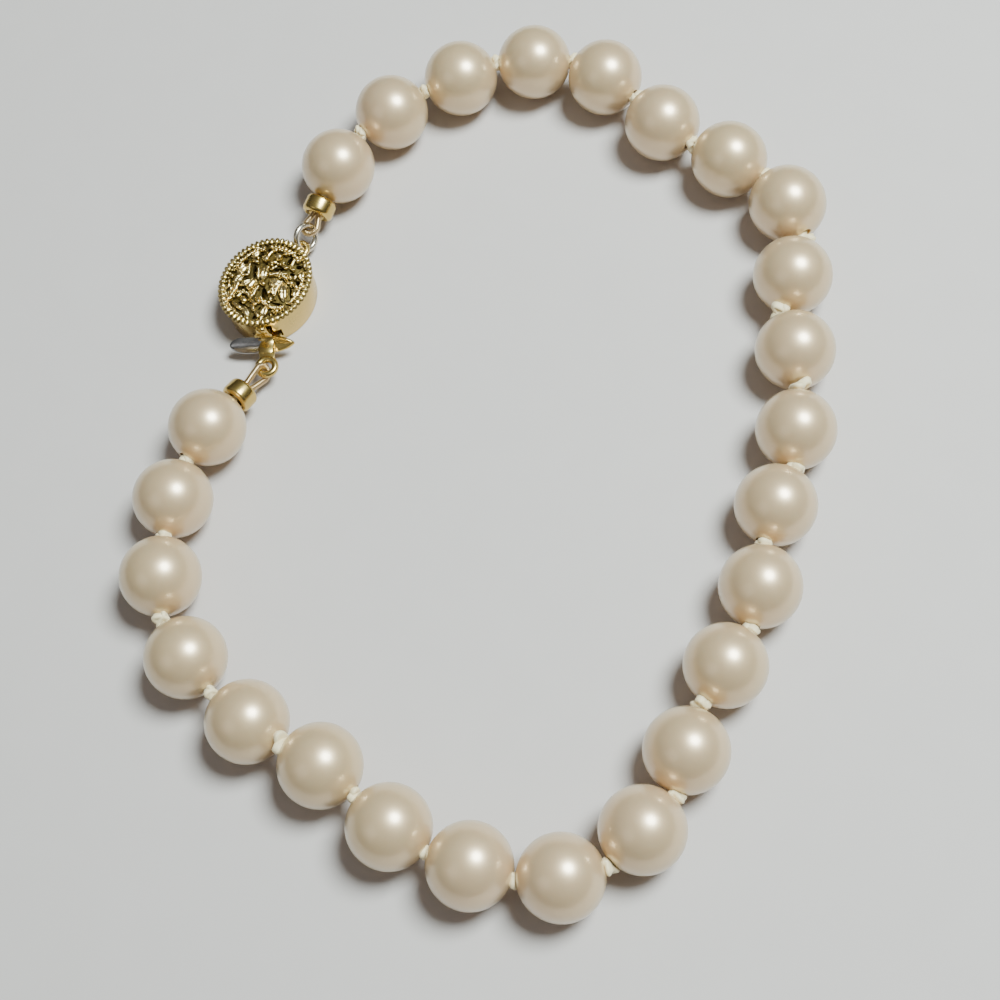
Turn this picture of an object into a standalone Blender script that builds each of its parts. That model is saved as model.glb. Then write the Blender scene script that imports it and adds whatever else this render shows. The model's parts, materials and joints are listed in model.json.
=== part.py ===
"""Knotted pearl bracelet with an oval filigree box clasp, lying as one closed loop on a table.

Metres, +Z up. The table is the plane Z = 0, and the origin is on it, under the middle of the
loop's outline. Seen from above the string runs clockwise: from the jump ring on the clasp's
soldered eye, through 25 pearls, to the ring on the clasp's spring tongue.
"""

import math
from collections import namedtuple

import bmesh
import bpy
from mathutils import Matrix, Vector

MM = 0.001

# Pearls: round, drilled through, all one size
PEARL_DIAMETER = 6.0 * MM
PEARL_BORE = 0.9 * MM
PEARL_SIDES = 12
PEARL_BANDS = 8

# Silk thread, with a knot after each pearl that is squeezed between its two neighbours
THREAD_DIAMETER = 0.5 * MM
THREAD_SIDES = 6
KNOT_GAP = 0.3 * MM
KNOT_DIAMETER = 1.3 * MM
KNOT_CLEARANCE = 0.04 * MM
KNOT_SHAPE = ((-1, 0.7, 0.8), (-1, 1.0, 0.4), (1, 1.0, 0.4), (1, 0.7, 0.8))

# Gold roundels, one at each end of the string
ROUNDEL_DIAMETER = 2.5 * MM
ROUNDEL_LENGTH = 1.45 * MM
ROUNDEL_BORE = 1.16 * MM
ROUNDEL_GAP = 0.07 * MM
ROUNDEL_SIDES = 12
ROUNDEL_STEPS = 6
ROUNDEL_FLAT = 0.45

# Loops of thread wound with gold wire, which leave the roundels and link them to the clasp
LOOP_WIRE = 0.5 * MM
LOOP_NECK = 0.54 * MM
LOOP_TO_JUMP_RING = 1.75 * MM
LOOP_TO_TONGUE_RING = 2.6 * MM
LOOP_SETBACK = 0.15 * MM
LINK_CLEARANCE = 0.08 * MM
WIRE_SIDES = 6

# Round jump ring between the first loop and the clasp's eye
JUMP_RING_DIAMETER = 2.5 * MM
JUMP_RING_WIRE = 0.5 * MM
JUMP_RING_ROLL = 64.0
JUMP_LOOP_ROLL = 6.0
TONGUE_LOOP_ROLL = 60.0

# Clasp: a shallow oval box under a pierced lid, its long axis and its eye at one bearing
CLASP_LENGTH = 8.2 * MM
CLASP_WIDTH = 7.3 * MM
CLASP_HEIGHT = 3.1 * MM
CLASP_BEARING = 58.5
CLASP_SIDES = 36
BAND_INSET = 0.25 * MM
BAND_WALL = 0.35 * MM
BACK_THICKNESS = 0.4 * MM
BACK_BEVEL = 0.12 * MM
LID_THICKNESS = 0.4 * MM
LID_RISE = 0.35 * MM
RIM_WIRE = 0.54 * MM
RIM_RIB_PITCH = 0.4 * MM
RIM_RIB_DEPTH = 0.07 * MM
RIM_SIDES = 5
LID_STEPS = (0.4, 0.75, 1.0)
FILIGREE_HEIGHT = 0.22 * MM
MOUND_ANGLES = (-60, 0, 40, 75)
MOTIF_SIDES = 8

# Eye soldered to the end of the box, for the jump ring
LINK_HEIGHT = 1.6 * MM
EYE_WIRE = 0.45 * MM
EYE_WIDTH = 1.6 * MM
EYE_REACH = 1.4 * MM

# Spring tongue: one folded strip, with its thumb tab, end plate and ring
TONGUE_BEARING = 269.0
TONGUE_WIDTH = 2.0 * MM
TONGUE_THICKNESS = 0.22 * MM
TONGUE_DEPTH = 5.3 * MM
TONGUE_NECK = 0.84 * MM
TONGUE_RING_DIAMETER = 1.9 * MM
TONGUE_RING_WIRE = 0.55 * MM
TONGUE_RING_REACH = 3.05 * MM
TONGUE_RING_SHIFT = 0.25 * MM
TAB_STAND_OFF = 0.35 * MM
TAB_FOLD_WIDTH = 1.35 * MM
TAB_FOLD_RISE = 0.45 * MM
TAB_FOLD_DEPTH = 0.15 * MM
TAB_RISE = 0.30 * MM
TAB_DROP = 0.10 * MM
TAB_LEAN = 0.05 * MM
LEAF_RISE = 0.12 * MM
LEAF_BEND = 0.20 * MM
LEAF_SPREAD = 0.60 * MM
PLATE_LENGTH = 5.1 * MM
PLATE_BREADTH = 1.3 * MM
PLATE_STAND_OFF = 0.95 * MM
PLATE_SHIFT = -0.3 * MM
PLATE_SLOPE = 35.0
PLATE_TURN = 6.0
PLATE_STEPS = (-1.0, -0.8, -0.5, -0.2, 0.2, 0.5, 0.8, 1.0)
PLATE_TIP = 0.04
PLATE_FULLNESS = 0.8
PLATE_FOOT = 0.30 * MM
PLATE_TOE = 0.50 * MM
SLOT_CLEARANCE = 0.15 * MM

# How the string lies, link by link, chosen to follow the real one. heading is the direction in
# degrees from +X. gap is the room for the knot, as a share of KNOT_GAP. outward and up move the
# knot off the line between the two pearls, as shares of the pearl's radius. size is the knot's
# width as a share of KNOT_DIAMETER. The first two and the last two links reach the clasp.
Link = namedtuple("Link", "heading gap outward up size")
STRING = [
    Link(65, 0.0, 0.00, 0.00, 0.0),
    Link(65, 0.0, 0.00, 0.00, 0.0),
    Link(49, 1.8, 0.22, 0.00, 1.0),
    Link(27, 1.4, 0.10, 0.05, 0.9),
    Link(10, 0.7, 0.18, 0.10, 1.0),
    Link(-20, 0.4, 0.30, 0.00, 1.0),
    Link(-48, 1.9, 0.10, 0.00, 1.0),
    Link(-38, 1.3, -0.12, 0.00, 1.0),
    Link(-47, 0.4, 0.25, 0.00, 0.9),
    Link(-91, 1.4, 0.40, 0.00, 1.1),
    Link(-93, 1.3, -0.34, 0.00, 1.1),
    Link(-94, 1.8, 0.10, 0.20, 1.1),
    Link(-108, 0.5, 0.23, 0.05, 1.0),
    Link(-104, 0.9, -0.10, 0.05, 0.9),
    Link(-116, 0.9, 0.19, 0.00, 1.0),
    Link(-117, 1.8, -0.13, 0.05, 1.0),
    Link(-121, 0.4, 0.30, 0.00, 1.0),
    Link(-151, 0.8, 0.31, 0.00, 1.0),
    Link(-188, 0.4, 0.20, 0.00, 0.9),
    Link(-206, 0.4, 0.16, 0.00, 0.8),
    Link(-221, 1.7, 0.00, 0.05, 0.9),
    Link(-211, 0.8, 0.05, 0.25, 1.2),
    Link(-225, 2.6, 0.15, 0.00, 0.8),
    Link(-249, 2.3, 0.28, 0.00, 1.0),
    Link(-274, 0.6, 0.05, 0.05, 0.9),
    Link(-291, 0.6, 0.10, 0.00, 0.9),
    Link(-305, 0.0, 0.00, 0.00, 0.0),
    Link(-305, 0.0, 0.00, 0.00, 0.0),
]

# Filigree of the lid, in shares of its half-width (across) and half-length (along, towards the
# eye). length and width are shares of the half-width, turn is in degrees from across.
Motif = namedtuple("Motif", "across along length width turn")
PIERCINGS = [
    Motif(0.21, 0.62, 0.20, 0.07, 90),
    Motif(0.45, 0.58, 0.13, 0.09, 20),
    Motif(0.66, 0.29, 0.13, 0.10, 0),
    Motif(0.12, 0.34, 0.14, 0.07, 45),
    Motif(-0.21, 0.34, 0.08, 0.07, 0),
    Motif(-0.37, 0.11, 0.22, 0.06, -57),
    Motif(0.14, -0.22, 0.19, 0.09, -60),
    Motif(0.68, -0.02, 0.20, 0.05, -52),
    Motif(0.52, -0.32, 0.20, 0.05, 20),
    Motif(-0.47, 0.48, 0.10, 0.06, 80),
    Motif(-0.72, 0.17, 0.12, 0.06, 80),
    Motif(-0.36, -0.36, 0.10, 0.07, 30),
    Motif(-0.13, -0.61, 0.16, 0.05, 0),
    Motif(0.28, -0.70, 0.12, 0.05, 85),
]
PETALS = [
    Motif(0.50, -0.07, 0.21, 0.09, -52),
    Motif(-0.10, 0.12, 0.15, 0.09, -70),
    Motif(0.25, 0.13, 0.16, 0.08, 25),
    Motif(-0.19, -0.21, 0.14, 0.11, 90),
    Motif(-0.56, -0.14, 0.15, 0.08, 80),
    Motif(-0.45, 0.29, 0.12, 0.06, 0),
    Motif(0.62, 0.47, 0.13, 0.07, -60),
    Motif(0.38, 0.38, 0.11, 0.06, 0),
]
GRANULES = [
    Motif(-0.04, 0.56, 0.09, 0.09, 0),
    Motif(-0.26, 0.43, 0.10, 0.10, 0),
    Motif(0.81, 0.09, 0.08, 0.08, 0),
    Motif(0.13, -0.45, 0.09, 0.09, 0),
]
# Ribbed wires that follow the rim: share of the oval, and the arc's two bearings from the long axis
Scroll = namedtuple("Scroll", "share start end")
SCROLLS = [Scroll(0.76, -38, 36), Scroll(0.74, 128, 168), Scroll(0.60, 196, 238)]
SCROLL_WIRE = 0.36 * MM

UP = Vector((0, 0, 1))
PEARL_RADIUS = PEARL_DIAMETER / 2


def compass(degrees):
    """Level unit vector at a bearing from +X."""
    angle = math.radians(degrees)
    return Vector((math.cos(angle), math.sin(angle), 0))


def finish(name, kind, look):
    """Principled material of one piece."""
    colour, roughness, metallic = look
    material = bpy.data.materials.new(f"{name} {kind}")
    material.use_nodes = True
    shader = material.node_tree.nodes["Principled BSDF"]
    shader.inputs["Base Color"].default_value = (*colour, 1)
    shader.inputs["Roughness"].default_value = roughness
    shader.inputs["Metallic"].default_value = metallic
    return material


NACRE = ((0.80, 0.71, 0.60), 0.22, 0.0)
SILK = ((0.78, 0.70, 0.55), 0.70, 0.0)
GOLD = ((0.74, 0.58, 0.26), 0.28, 1.0)
PALE_METAL = ((0.72, 0.69, 0.64), 0.25, 1.0)


def add_object(name, bm, kind, look, smooth_angle=40.0):
    """Object of this mesh, with outward faces and its own material."""
    bmesh.ops.recalc_face_normals(bm, faces=bm.faces)
    mesh = bpy.data.meshes.new(name)
    bm.to_mesh(mesh)
    bm.free()
    mesh.shade_smooth()
    mesh.set_sharp_from_angle(angle=math.radians(smooth_angle))
    obj = bpy.data.objects.new(name, mesh)
    bpy.context.scene.collection.objects.link(obj)
    mesh.materials.append(finish(name, kind, look))
    return obj


def skin(bm, rings, closed=False):
    """Closed skin over rings of points: it ends in two flat caps, or closes on itself."""
    loops = [[bm.verts.new(point) for point in ring] for ring in rings]
    sides = len(loops[0])
    pairs = list(zip(loops, loops[1:]))
    if closed:
        pairs.append((loops[-1], loops[0]))
    else:
        bm.faces.new(loops[0])
        bm.faces.new(loops[-1])
    for near, far in pairs:
        for i in range(sides):
            j = (i + 1) % sides
            bm.faces.new((near[i], near[j], far[j], far[i]))


def round_ring(centre, across, over, radius, sides):
    """Points of a circle round centre, in the plane of two unit vectors."""
    turns = (2 * math.pi * i / sides for i in range(sides))
    return [centre + radius * (across * math.cos(t) + over * math.sin(t)) for t in turns]


def tube_rings(path, normal, radius, sides, closed=False):
    """Round sections along a flat path whose plane has this normal."""
    rings = []
    count = len(path)
    for i, point in enumerate(path):
        before = path[i - 1] if closed or i else point
        after = path[(i + 1) % count] if closed or i < count - 1 else point
        along = (after - before).normalized()
        rings.append(round_ring(point, along.cross(normal), normal, radius, sides))
    return rings


def arc(centre, across, over, radius, start, end, steps):
    """Points of an arc, from one angle to the other in degrees, ends included."""
    points = []
    for i in range(steps + 1):
        angle = math.radians(start + (end - start) * i / steps)
        points.append(centre + radius * (across * math.cos(angle) + over * math.sin(angle)))
    return points


def turned(bm, profile, steps):
    """Spins a closed profile of (radius, height) points about +Z."""
    corners = [bm.verts.new((radius, 0, height)) for radius, height in profile]
    edges = [bm.edges.new((a, b)) for a, b in zip(corners, corners[1:] + corners[:1])]
    bmesh.ops.spin(
        bm,
        geom=corners + edges,
        cent=(0, 0, 0),
        axis=(0, 0, 1),
        angle=2 * math.pi,
        steps=steps,
        use_merge=True,
    )
    bmesh.ops.remove_doubles(bm, verts=bm.verts, dist=0.001 * MM)


def beside(direction, roll=0.0):
    """Two unit vectors square to a direction: to its left, and over it, rolled about it."""
    side = UP.cross(direction).normalized()
    over = direction.cross(side)
    angle = math.radians(roll)
    left = side * math.cos(angle) + over * math.sin(angle)
    return left, direction.cross(left)


def place_along(obj, centre, direction):
    """Stands a piece turned about +Z at centre, with its axis along direction."""
    side, over = beside(direction)
    turn = Matrix((over, -side, direction)).transposed()
    obj.matrix_world = Matrix.Translation(centre) @ turn.to_4x4()


def oval(bearing, inset=0.0, share=1.0):
    """Point of the clasp's oval, level, at an angle from its long axis."""
    angle = math.radians(bearing)
    along = (CLASP_LENGTH / 2 - inset) * math.cos(angle) * share
    across = (CLASP_WIDTH / 2 - inset) * math.sin(angle) * share
    return compass(CLASP_BEARING) * along + compass(CLASP_BEARING + 90) * across


def oval_ring(inset, height, share=1.0, sides=CLASP_SIDES):
    """Ring of points round the clasp at one height."""
    return [oval(360 * i / sides, inset, share) + UP * height for i in range(sides)]


def reach_of_oval(bearing, inset):
    """Distance from the clasp's centre to its oval at a compass bearing."""
    angle = math.radians(bearing - CLASP_BEARING)
    along = math.cos(angle) / (CLASP_LENGTH / 2 - inset)
    across = math.sin(angle) / (CLASP_WIDTH / 2 - inset)
    return 1 / math.hypot(along, across)


def lid_point(motif):
    """Where a motif sits on the lid's crowned upper face, in the clasp's frame."""
    half_width = CLASP_WIDTH / 2 - BAND_INSET
    half_length = CLASP_LENGTH / 2 - BAND_INSET
    level = compass(CLASP_BEARING - 90) * motif.across * half_width
    level += compass(CLASP_BEARING) * motif.along * half_length
    crown = LID_RISE * (1 - motif.across**2 - motif.along**2)
    return level + UP * (CLASP_HEIGHT + crown)


def eye_hook():
    """Centre of the jump ring's wire where it hangs in the eye, in the clasp's frame."""
    inner_end = reach_of_oval(CLASP_BEARING, BAND_INSET) + EYE_REACH - EYE_WIRE
    reach = inner_end - JUMP_RING_WIRE / 2 - LINK_CLEARANCE
    return compass(CLASP_BEARING) * reach + UP * LINK_HEIGHT


def tongue_point(reach, height, shift=0.0):
    """Point of the tongue in the clasp's frame: out from the centre, up, and to one side."""
    return compass(TONGUE_BEARING) * reach + compass(TONGUE_BEARING + 90) * shift + UP * height


def tongue_ring_centre():
    reach = reach_of_oval(TONGUE_BEARING, BAND_INSET) + TONGUE_RING_REACH
    return tongue_point(reach, LINK_HEIGHT, TONGUE_RING_SHIFT)


def link_lengths():
    """Length of each link of the string, from the eye to the tongue's ring."""
    to_roundel = PEARL_RADIUS + ROUNDEL_LENGTH / 2 + ROUNDEL_GAP
    ring_width = JUMP_RING_DIAMETER - JUMP_RING_WIRE
    pearls = [PEARL_DIAMETER + KNOT_GAP * link.gap for link in STRING[2:-2]]
    return [ring_width + LOOP_TO_JUMP_RING, to_roundel, *pearls, to_roundel, LOOP_TO_TONGUE_RING]


def link_rises():
    """Rise of each link. Pearls lie on the table, and the string drops to the clasp's rings."""
    lengths = link_lengths()
    drop = PEARL_RADIUS - LINK_HEIGHT
    first = drop * lengths[0] / (lengths[0] + lengths[1])
    last = drop * lengths[-1] / (lengths[-1] + lengths[-2])
    return [first, drop - first, *[0.0] * (len(lengths) - 4), last - drop, -last]


def string_points():
    """Points of the string: the eye's hook, roundel, pearls, roundel, the tongue ring's hook."""
    start = eye_hook()
    ring_radius = (TONGUE_RING_DIAMETER - TONGUE_RING_WIRE) / 2
    goal = tongue_ring_centre() - compass(STRING[-1].heading) * ring_radius
    steps = []
    for link, length, rise in zip(STRING, link_lengths(), link_rises()):
        steps.append(compass(link.heading) * math.sqrt(length**2 - rise**2) + UP * rise)
    # The loop has to close whatever the sizes, so each link turns a little towards the goal.
    for _ in range(200):
        miss = goal - start - sum(steps, Vector())
        for i, step in enumerate(steps):
            level = Vector((step.x, step.y, 0))
            turned_step = (level + miss / len(steps)).normalized() * level.length
            steps[i] = Vector((turned_step.x, turned_step.y, step.z))
    points = [start]
    for step in steps:
        points.append(points[-1] + step)
    return points


def knot_places(pearls):
    """Centre of each knot between neighbouring pearls."""
    places = []
    for link, near, far in zip(STRING[2:-2], pearls, pearls[1:]):
        outward = UP.cross((far - near).normalized())
        shift = PEARL_RADIUS * (outward * link.outward + UP * link.up)
        places.append((near + far) / 2 + shift)
    return places


def bore_directions(pearls, knots, roundels):
    """Direction of each pearl's bore: from the knot or roundel before it to the one after."""
    stops = [roundels[0], *knots, roundels[1]]
    return [(after - before).normalized() for before, after in zip(stops, stops[1:])]


def make_pearls(pearls, directions):
    half_bore = math.asin(PEARL_BORE / 2 / PEARL_RADIUS)
    profile = []
    for i in range(PEARL_BANDS + 1):
        angle = half_bore + (math.pi - 2 * half_bore) * i / PEARL_BANDS
        profile.append((PEARL_RADIUS * math.sin(angle), PEARL_RADIUS * math.cos(angle)))
    for number, (centre, direction) in enumerate(zip(pearls, directions), 1):
        bm = bmesh.new()
        turned(bm, profile, PEARL_SIDES)
        pearl = add_object(f"pearl_{number:02d}", bm, "nacre", NACRE, 60.0)
        place_along(pearl, centre, direction)


def make_roundels(roundels, directions):
    """Barrel beads: a bulging side, rounded into two flat ends."""
    half = ROUNDEL_LENGTH / 2
    bulge = ROUNDEL_DIAMETER / 2
    bore = ROUNDEL_BORE / 2
    end = bore + (bulge - bore) * ROUNDEL_FLAT
    side = [(end + (bulge - end) * math.cos(t), half * math.sin(t)) for t in bead_turns()]
    profile = [(bore, half), *side, (bore, -half)]
    for name, centre, direction in zip(("roundel_1", "roundel_2"), roundels, directions):
        bm = bmesh.new()
        turned(bm, profile, ROUNDEL_SIDES)
        roundel = add_object(name, bm, "gold", GOLD, 50.0)
        place_along(roundel, centre, direction)


def bead_turns():
    return [math.pi / 2 - math.pi * i / ROUNDEL_STEPS for i in range(ROUNDEL_STEPS + 1)]


def knot_rings(near, far, centre, size):
    """Sections of one knot, squeezed so that it clears both pearls."""
    along = (far - near).normalized()
    side, over = beside(along)
    middle = (near + far) / 2
    radius = KNOT_DIAMETER * size / 2
    spacing = (far - near).length
    shift = centre - middle
    rings = []
    for sign, width, depth in KNOT_SHAPE:
        ring = []
        for point in round_ring(shift, side, over, radius * width, THREAD_SIDES):
            off_axis = point.length
            pearl_face = math.sqrt(PEARL_RADIUS**2 - off_axis**2)
            room = spacing / 2 - pearl_face - KNOT_CLEARANCE
            ring.append(middle + point + along * sign * min(radius * depth, room))
        rings.append(ring)
    return rings


def make_thread(pearls, knots, directions, roundels):
    """One run of silk from roundel to roundel, through every pearl and knot."""
    radius = THREAD_DIAMETER / 2
    tail = LOOP_NECK / 2 + LOOP_WIRE / 2 - LOOP_SETBACK + 2 * LINK_CLEARANCE
    first = (pearls[0] - roundels[0]).normalized()
    last = (roundels[1] - pearls[-1]).normalized()
    rings = [round_ring(roundels[0] + first * tail, *beside(first), radius, THREAD_SIDES)]
    mouth = PEARL_RADIUS - KNOT_CLEARANCE
    for i, (centre, direction) in enumerate(zip(pearls, directions)):
        for end in (-mouth, mouth):
            rings.append(
                round_ring(centre + direction * end, *beside(direction), radius, THREAD_SIDES)
            )
        if i < len(knots):
            rings += knot_rings(centre, pearls[i + 1], knots[i], STRING[i + 2].size)
    rings.append(round_ring(roundels[1] - last * tail, *beside(last), radius, THREAD_SIDES))
    bm = bmesh.new()
    skin(bm, rings)
    add_object("silk_thread", bm, "silk", SILK, 60.0)


def make_end_loop(name, roundel, hook, ring_wire, roll):
    """Pear-shaped loop: its neck sits in the roundel's bore, its wide end holds a ring's wire."""
    direction = (hook - roundel).normalized()
    side, over = beside(direction, roll)
    wide = ring_wire / 2 + LINK_CLEARANCE + LOOP_WIRE / 2
    wide_centre = hook + direction * (ring_wire / 2 + LINK_CLEARANCE + LOOP_WIRE / 2 - wide)
    neck = roundel + direction * LOOP_SETBACK
    bore_mouth = roundel + direction * ROUNDEL_LENGTH / 2
    half_neck = LOOP_NECK / 2
    path = arc(wide_centre, direction, side, wide, -90, 90, 6)
    path.append(bore_mouth + side * half_neck)
    path += arc(neck, direction, side, half_neck, 90, 270, 4)
    path.append(bore_mouth - side * half_neck)
    bm = bmesh.new()
    skin(bm, tube_rings(path, over, LOOP_WIRE / 2, WIRE_SIDES, closed=True), closed=True)
    add_object(name, bm, "wound wire", GOLD, 60.0)


def make_jump_ring(roundel):
    direction = (roundel - eye_hook()).normalized()
    radius = (JUMP_RING_DIAMETER - JUMP_RING_WIRE) / 2
    side, over = beside(direction, JUMP_RING_ROLL)
    centre = eye_hook() + direction * radius
    steps = 16
    path = arc(centre, direction, side, radius, 0, 360 * (steps - 1) / steps, steps - 1)
    bm = bmesh.new()
    skin(bm, tube_rings(path, over, JUMP_RING_WIRE / 2, WIRE_SIDES, closed=True), closed=True)
    add_object("jump_ring", bm, "pale metal", PALE_METAL, 60.0)
    return centre + direction * radius


def boolean(target, tool, operation):
    """Joins the tool to the target, or cuts it away, and hides the tool."""
    tool.hide_render = True
    tool.display_type = "WIRE"
    tool.hide_set(True)
    modifier = target.modifiers.new(tool.name, "BOOLEAN")
    modifier.operation = operation
    modifier.solver = "EXACT"
    modifier.use_self = True
    modifier.object = tool


def box_shell():
    """Back plate and band, open at the top."""
    top = CLASP_HEIGHT - LID_THICKNESS / 2
    wall = BAND_INSET + BAND_WALL
    rings = [
        oval_ring(BAND_INSET + BACK_BEVEL, 0),
        oval_ring(BAND_INSET, BACK_BEVEL),
        oval_ring(BAND_INSET, top),
        oval_ring(wall, top),
        oval_ring(wall, BACK_THICKNESS),
    ]
    bm = bmesh.new()
    skin(bm, rings)
    return add_object("clasp_box", bm, "gold", GOLD, 35.0)


def lid_plate():
    """Crowned plate that closes the box, before it is pierced."""
    edge = BAND_INSET + BAND_WALL / 2
    crown = [LID_RISE * (1 - share**2) for share in LID_STEPS]
    under = [
        oval_ring(edge, CLASP_HEIGHT - LID_THICKNESS + rise, share)
        for share, rise in zip(LID_STEPS, crown)
    ]
    over = [oval_ring(edge, CLASP_HEIGHT + rise, share) for share, rise in zip(LID_STEPS, crown)]
    bm = bmesh.new()
    skin(bm, under + over[::-1])
    return add_object("lid_plate", bm, "gold", GOLD)


def ribbed_wire(bm, centres, inward, radius, depth, sides, closed):
    """Wire along level points, its radius swelling and falling from one point to the next."""
    rings = []
    for i, (centre, side) in enumerate(zip(centres, inward)):
        swell = radius + (depth if i % 2 else 0)
        rings.append(round_ring(centre, side, UP, swell, sides))
    skin(bm, rings, closed)


def rim():
    """Ribbed wire soldered round the lid's edge."""
    inset = RIM_WIRE / 2
    perimeter = math.pi * (CLASP_LENGTH + CLASP_WIDTH) / 2
    ribs = round(perimeter / RIM_RIB_PITCH)
    bearings = [180 * i / ribs for i in range(2 * ribs)]
    centres = [oval(b, inset) + UP * CLASP_HEIGHT for b in bearings]
    inward = [-oval(b).normalized() for b in bearings]
    bm = bmesh.new()
    ribbed_wire(
        bm, centres, inward, RIM_WIRE / 2 - RIM_RIB_DEPTH, RIM_RIB_DEPTH, RIM_SIDES, closed=True
    )
    return add_object("lid_rim", bm, "gold", GOLD)


def scrolls():
    """Ribbed wires inside the rim."""
    bm = bmesh.new()
    for scroll in SCROLLS:
        length = math.radians(abs(scroll.end - scroll.start)) * CLASP_LENGTH / 2 * scroll.share
        steps = 2 * round(length / RIM_RIB_PITCH)
        bearings = [
            scroll.start + (scroll.end - scroll.start) * i / steps for i in range(steps + 1)
        ]
        crown = CLASP_HEIGHT + LID_RISE * (1 - scroll.share**2)
        centres = [oval(b, BAND_INSET, scroll.share) + UP * crown for b in bearings]
        inward = [-oval(b).normalized() for b in bearings]
        ribbed_wire(
            bm,
            centres,
            inward,
            SCROLL_WIRE / 2 - RIM_RIB_DEPTH,
            RIM_RIB_DEPTH,
            RIM_SIDES,
            closed=False,
        )
    return add_object("lid_scrolls", bm, "gold", GOLD)


def motif_turns():
    return [2 * math.pi * i / MOTIF_SIDES for i in range(MOTIF_SIDES)]


def motif_frame(motif):
    turn = CLASP_BEARING - 90 + motif.turn
    return lid_point(motif), compass(turn), compass(turn + 90)


def relief(name, motifs):
    """Low rounded mounds on the lid, one for each motif."""
    half_width = CLASP_WIDTH / 2 - BAND_INSET
    bm = bmesh.new()
    for motif in motifs:
        centre, along, across = motif_frame(motif)
        length = motif.length * half_width
        width = motif.width * half_width
        rings = []
        for angle in MOUND_ANGLES:
            t = math.radians(angle)
            level = UP * FILIGREE_HEIGHT * math.sin(t)
            rings.append(
                [
                    centre
                    + level
                    + (along * length * math.cos(s) + across * width * math.sin(s)) * math.cos(t)
                    for s in motif_turns()
                ]
            )
        skin(bm, rings)
    return add_object(name, bm, "gold", GOLD)


def piercing_cutters():
    """Upright oval punches, one for each hole in the lid."""
    half_width = CLASP_WIDTH / 2 - BAND_INSET
    bm = bmesh.new()
    for motif in PIERCINGS:
        centre, along, across = motif_frame(motif)
        length = motif.length * half_width
        width = motif.width * half_width
        level = Vector((centre.x, centre.y, 0))
        outline = [
            level + along * length * math.cos(s) + across * width * math.sin(s)
            for s in motif_turns()
        ]
        low = UP * (CLASP_HEIGHT - 2 * LID_THICKNESS)
        high = UP * (CLASP_HEIGHT + LID_RISE + 2 * FILIGREE_HEIGHT)
        skin(bm, [[p + low for p in outline], [p + high for p in outline]])
    return add_object("lid_piercings", bm, "gold", GOLD)


def eye():
    """U of wire whose two ends are soldered into the band."""
    outward = compass(CLASP_BEARING)
    side = compass(CLASP_BEARING + 90)
    face = reach_of_oval(CLASP_BEARING, BAND_INSET)
    half = (EYE_WIDTH - EYE_WIRE) / 2
    bend = outward * (face + EYE_REACH - EYE_WIRE / 2 - half) + UP * LINK_HEIGHT
    root = outward * (face - BAND_WALL / 2) + UP * LINK_HEIGHT
    path = [root - side * half, *arc(bend, outward, side, half, -90, 90, 6), root + side * half]
    bm = bmesh.new()
    skin(bm, tube_rings(path, UP, EYE_WIRE / 2, WIRE_SIDES))
    return add_object("clasp_eye", bm, "gold", GOLD)


def block(name, bearing, reach, depth, width, low, high):
    """Box that stands across a bearing, from one height to another."""
    bm = bmesh.new()
    outward = compass(bearing)
    side = compass(bearing + 90)
    rings = []
    for height in (low, high):
        corners = ((-1, -1), (1, -1), (1, 1), (-1, 1))
        rings.append(
            [
                outward * (reach + a * depth / 2) + side * b * width / 2 + UP * height
                for a, b in corners
            ]
        )
    skin(bm, rings)
    return add_object(name, bm, "gold", GOLD)


TongueStation = namedtuple("TongueStation", "reach height width shift", defaults=[0.0])


def tongue_heights():
    """Heights in the box: the lower leaf, the foot of the neck and the slot's two openings."""
    lower = BACK_THICKNESS + SLOT_CLEARANCE + TONGUE_THICKNESS
    upper = CLASP_HEIGHT - LID_THICKNESS - SLOT_CLEARANCE - 2 * TONGUE_THICKNESS
    return lower, upper


def cut_slot(box):
    """A wide slot for the strip, and above it a narrow notch that only the neck passes."""
    lower, upper = tongue_heights()
    face = reach_of_oval(TONGUE_BEARING, BAND_INSET + BAND_WALL / 2)
    middle = (lower + upper) / 2
    floor = lower - TONGUE_THICKNESS / 2 - SLOT_CLEARANCE / 2
    wide = TONGUE_WIDTH + 2 * SLOT_CLEARANCE
    narrow = TONGUE_NECK + 2 * SLOT_CLEARANCE
    top = upper + TONGUE_THICKNESS + SLOT_CLEARANCE
    depth = 4 * BAND_WALL
    boolean(box, block("slot", TONGUE_BEARING, face, depth, wide, floor, middle), "DIFFERENCE")
    notch = block("notch", TONGUE_BEARING, face, depth, narrow, middle - BACK_BEVEL, top)
    boolean(box, notch, "DIFFERENCE")


def make_clasp_box():
    box = box_shell()
    boolean(box, lid_plate(), "UNION")
    boolean(box, relief("lid_petals", PETALS), "UNION")
    boolean(box, relief("lid_granules", GRANULES), "UNION")
    boolean(box, scrolls(), "UNION")
    boolean(box, piercing_cutters(), "DIFFERENCE")
    boolean(box, rim(), "UNION")
    boolean(box, eye(), "UNION")
    cut_slot(box)
    return box


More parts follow.
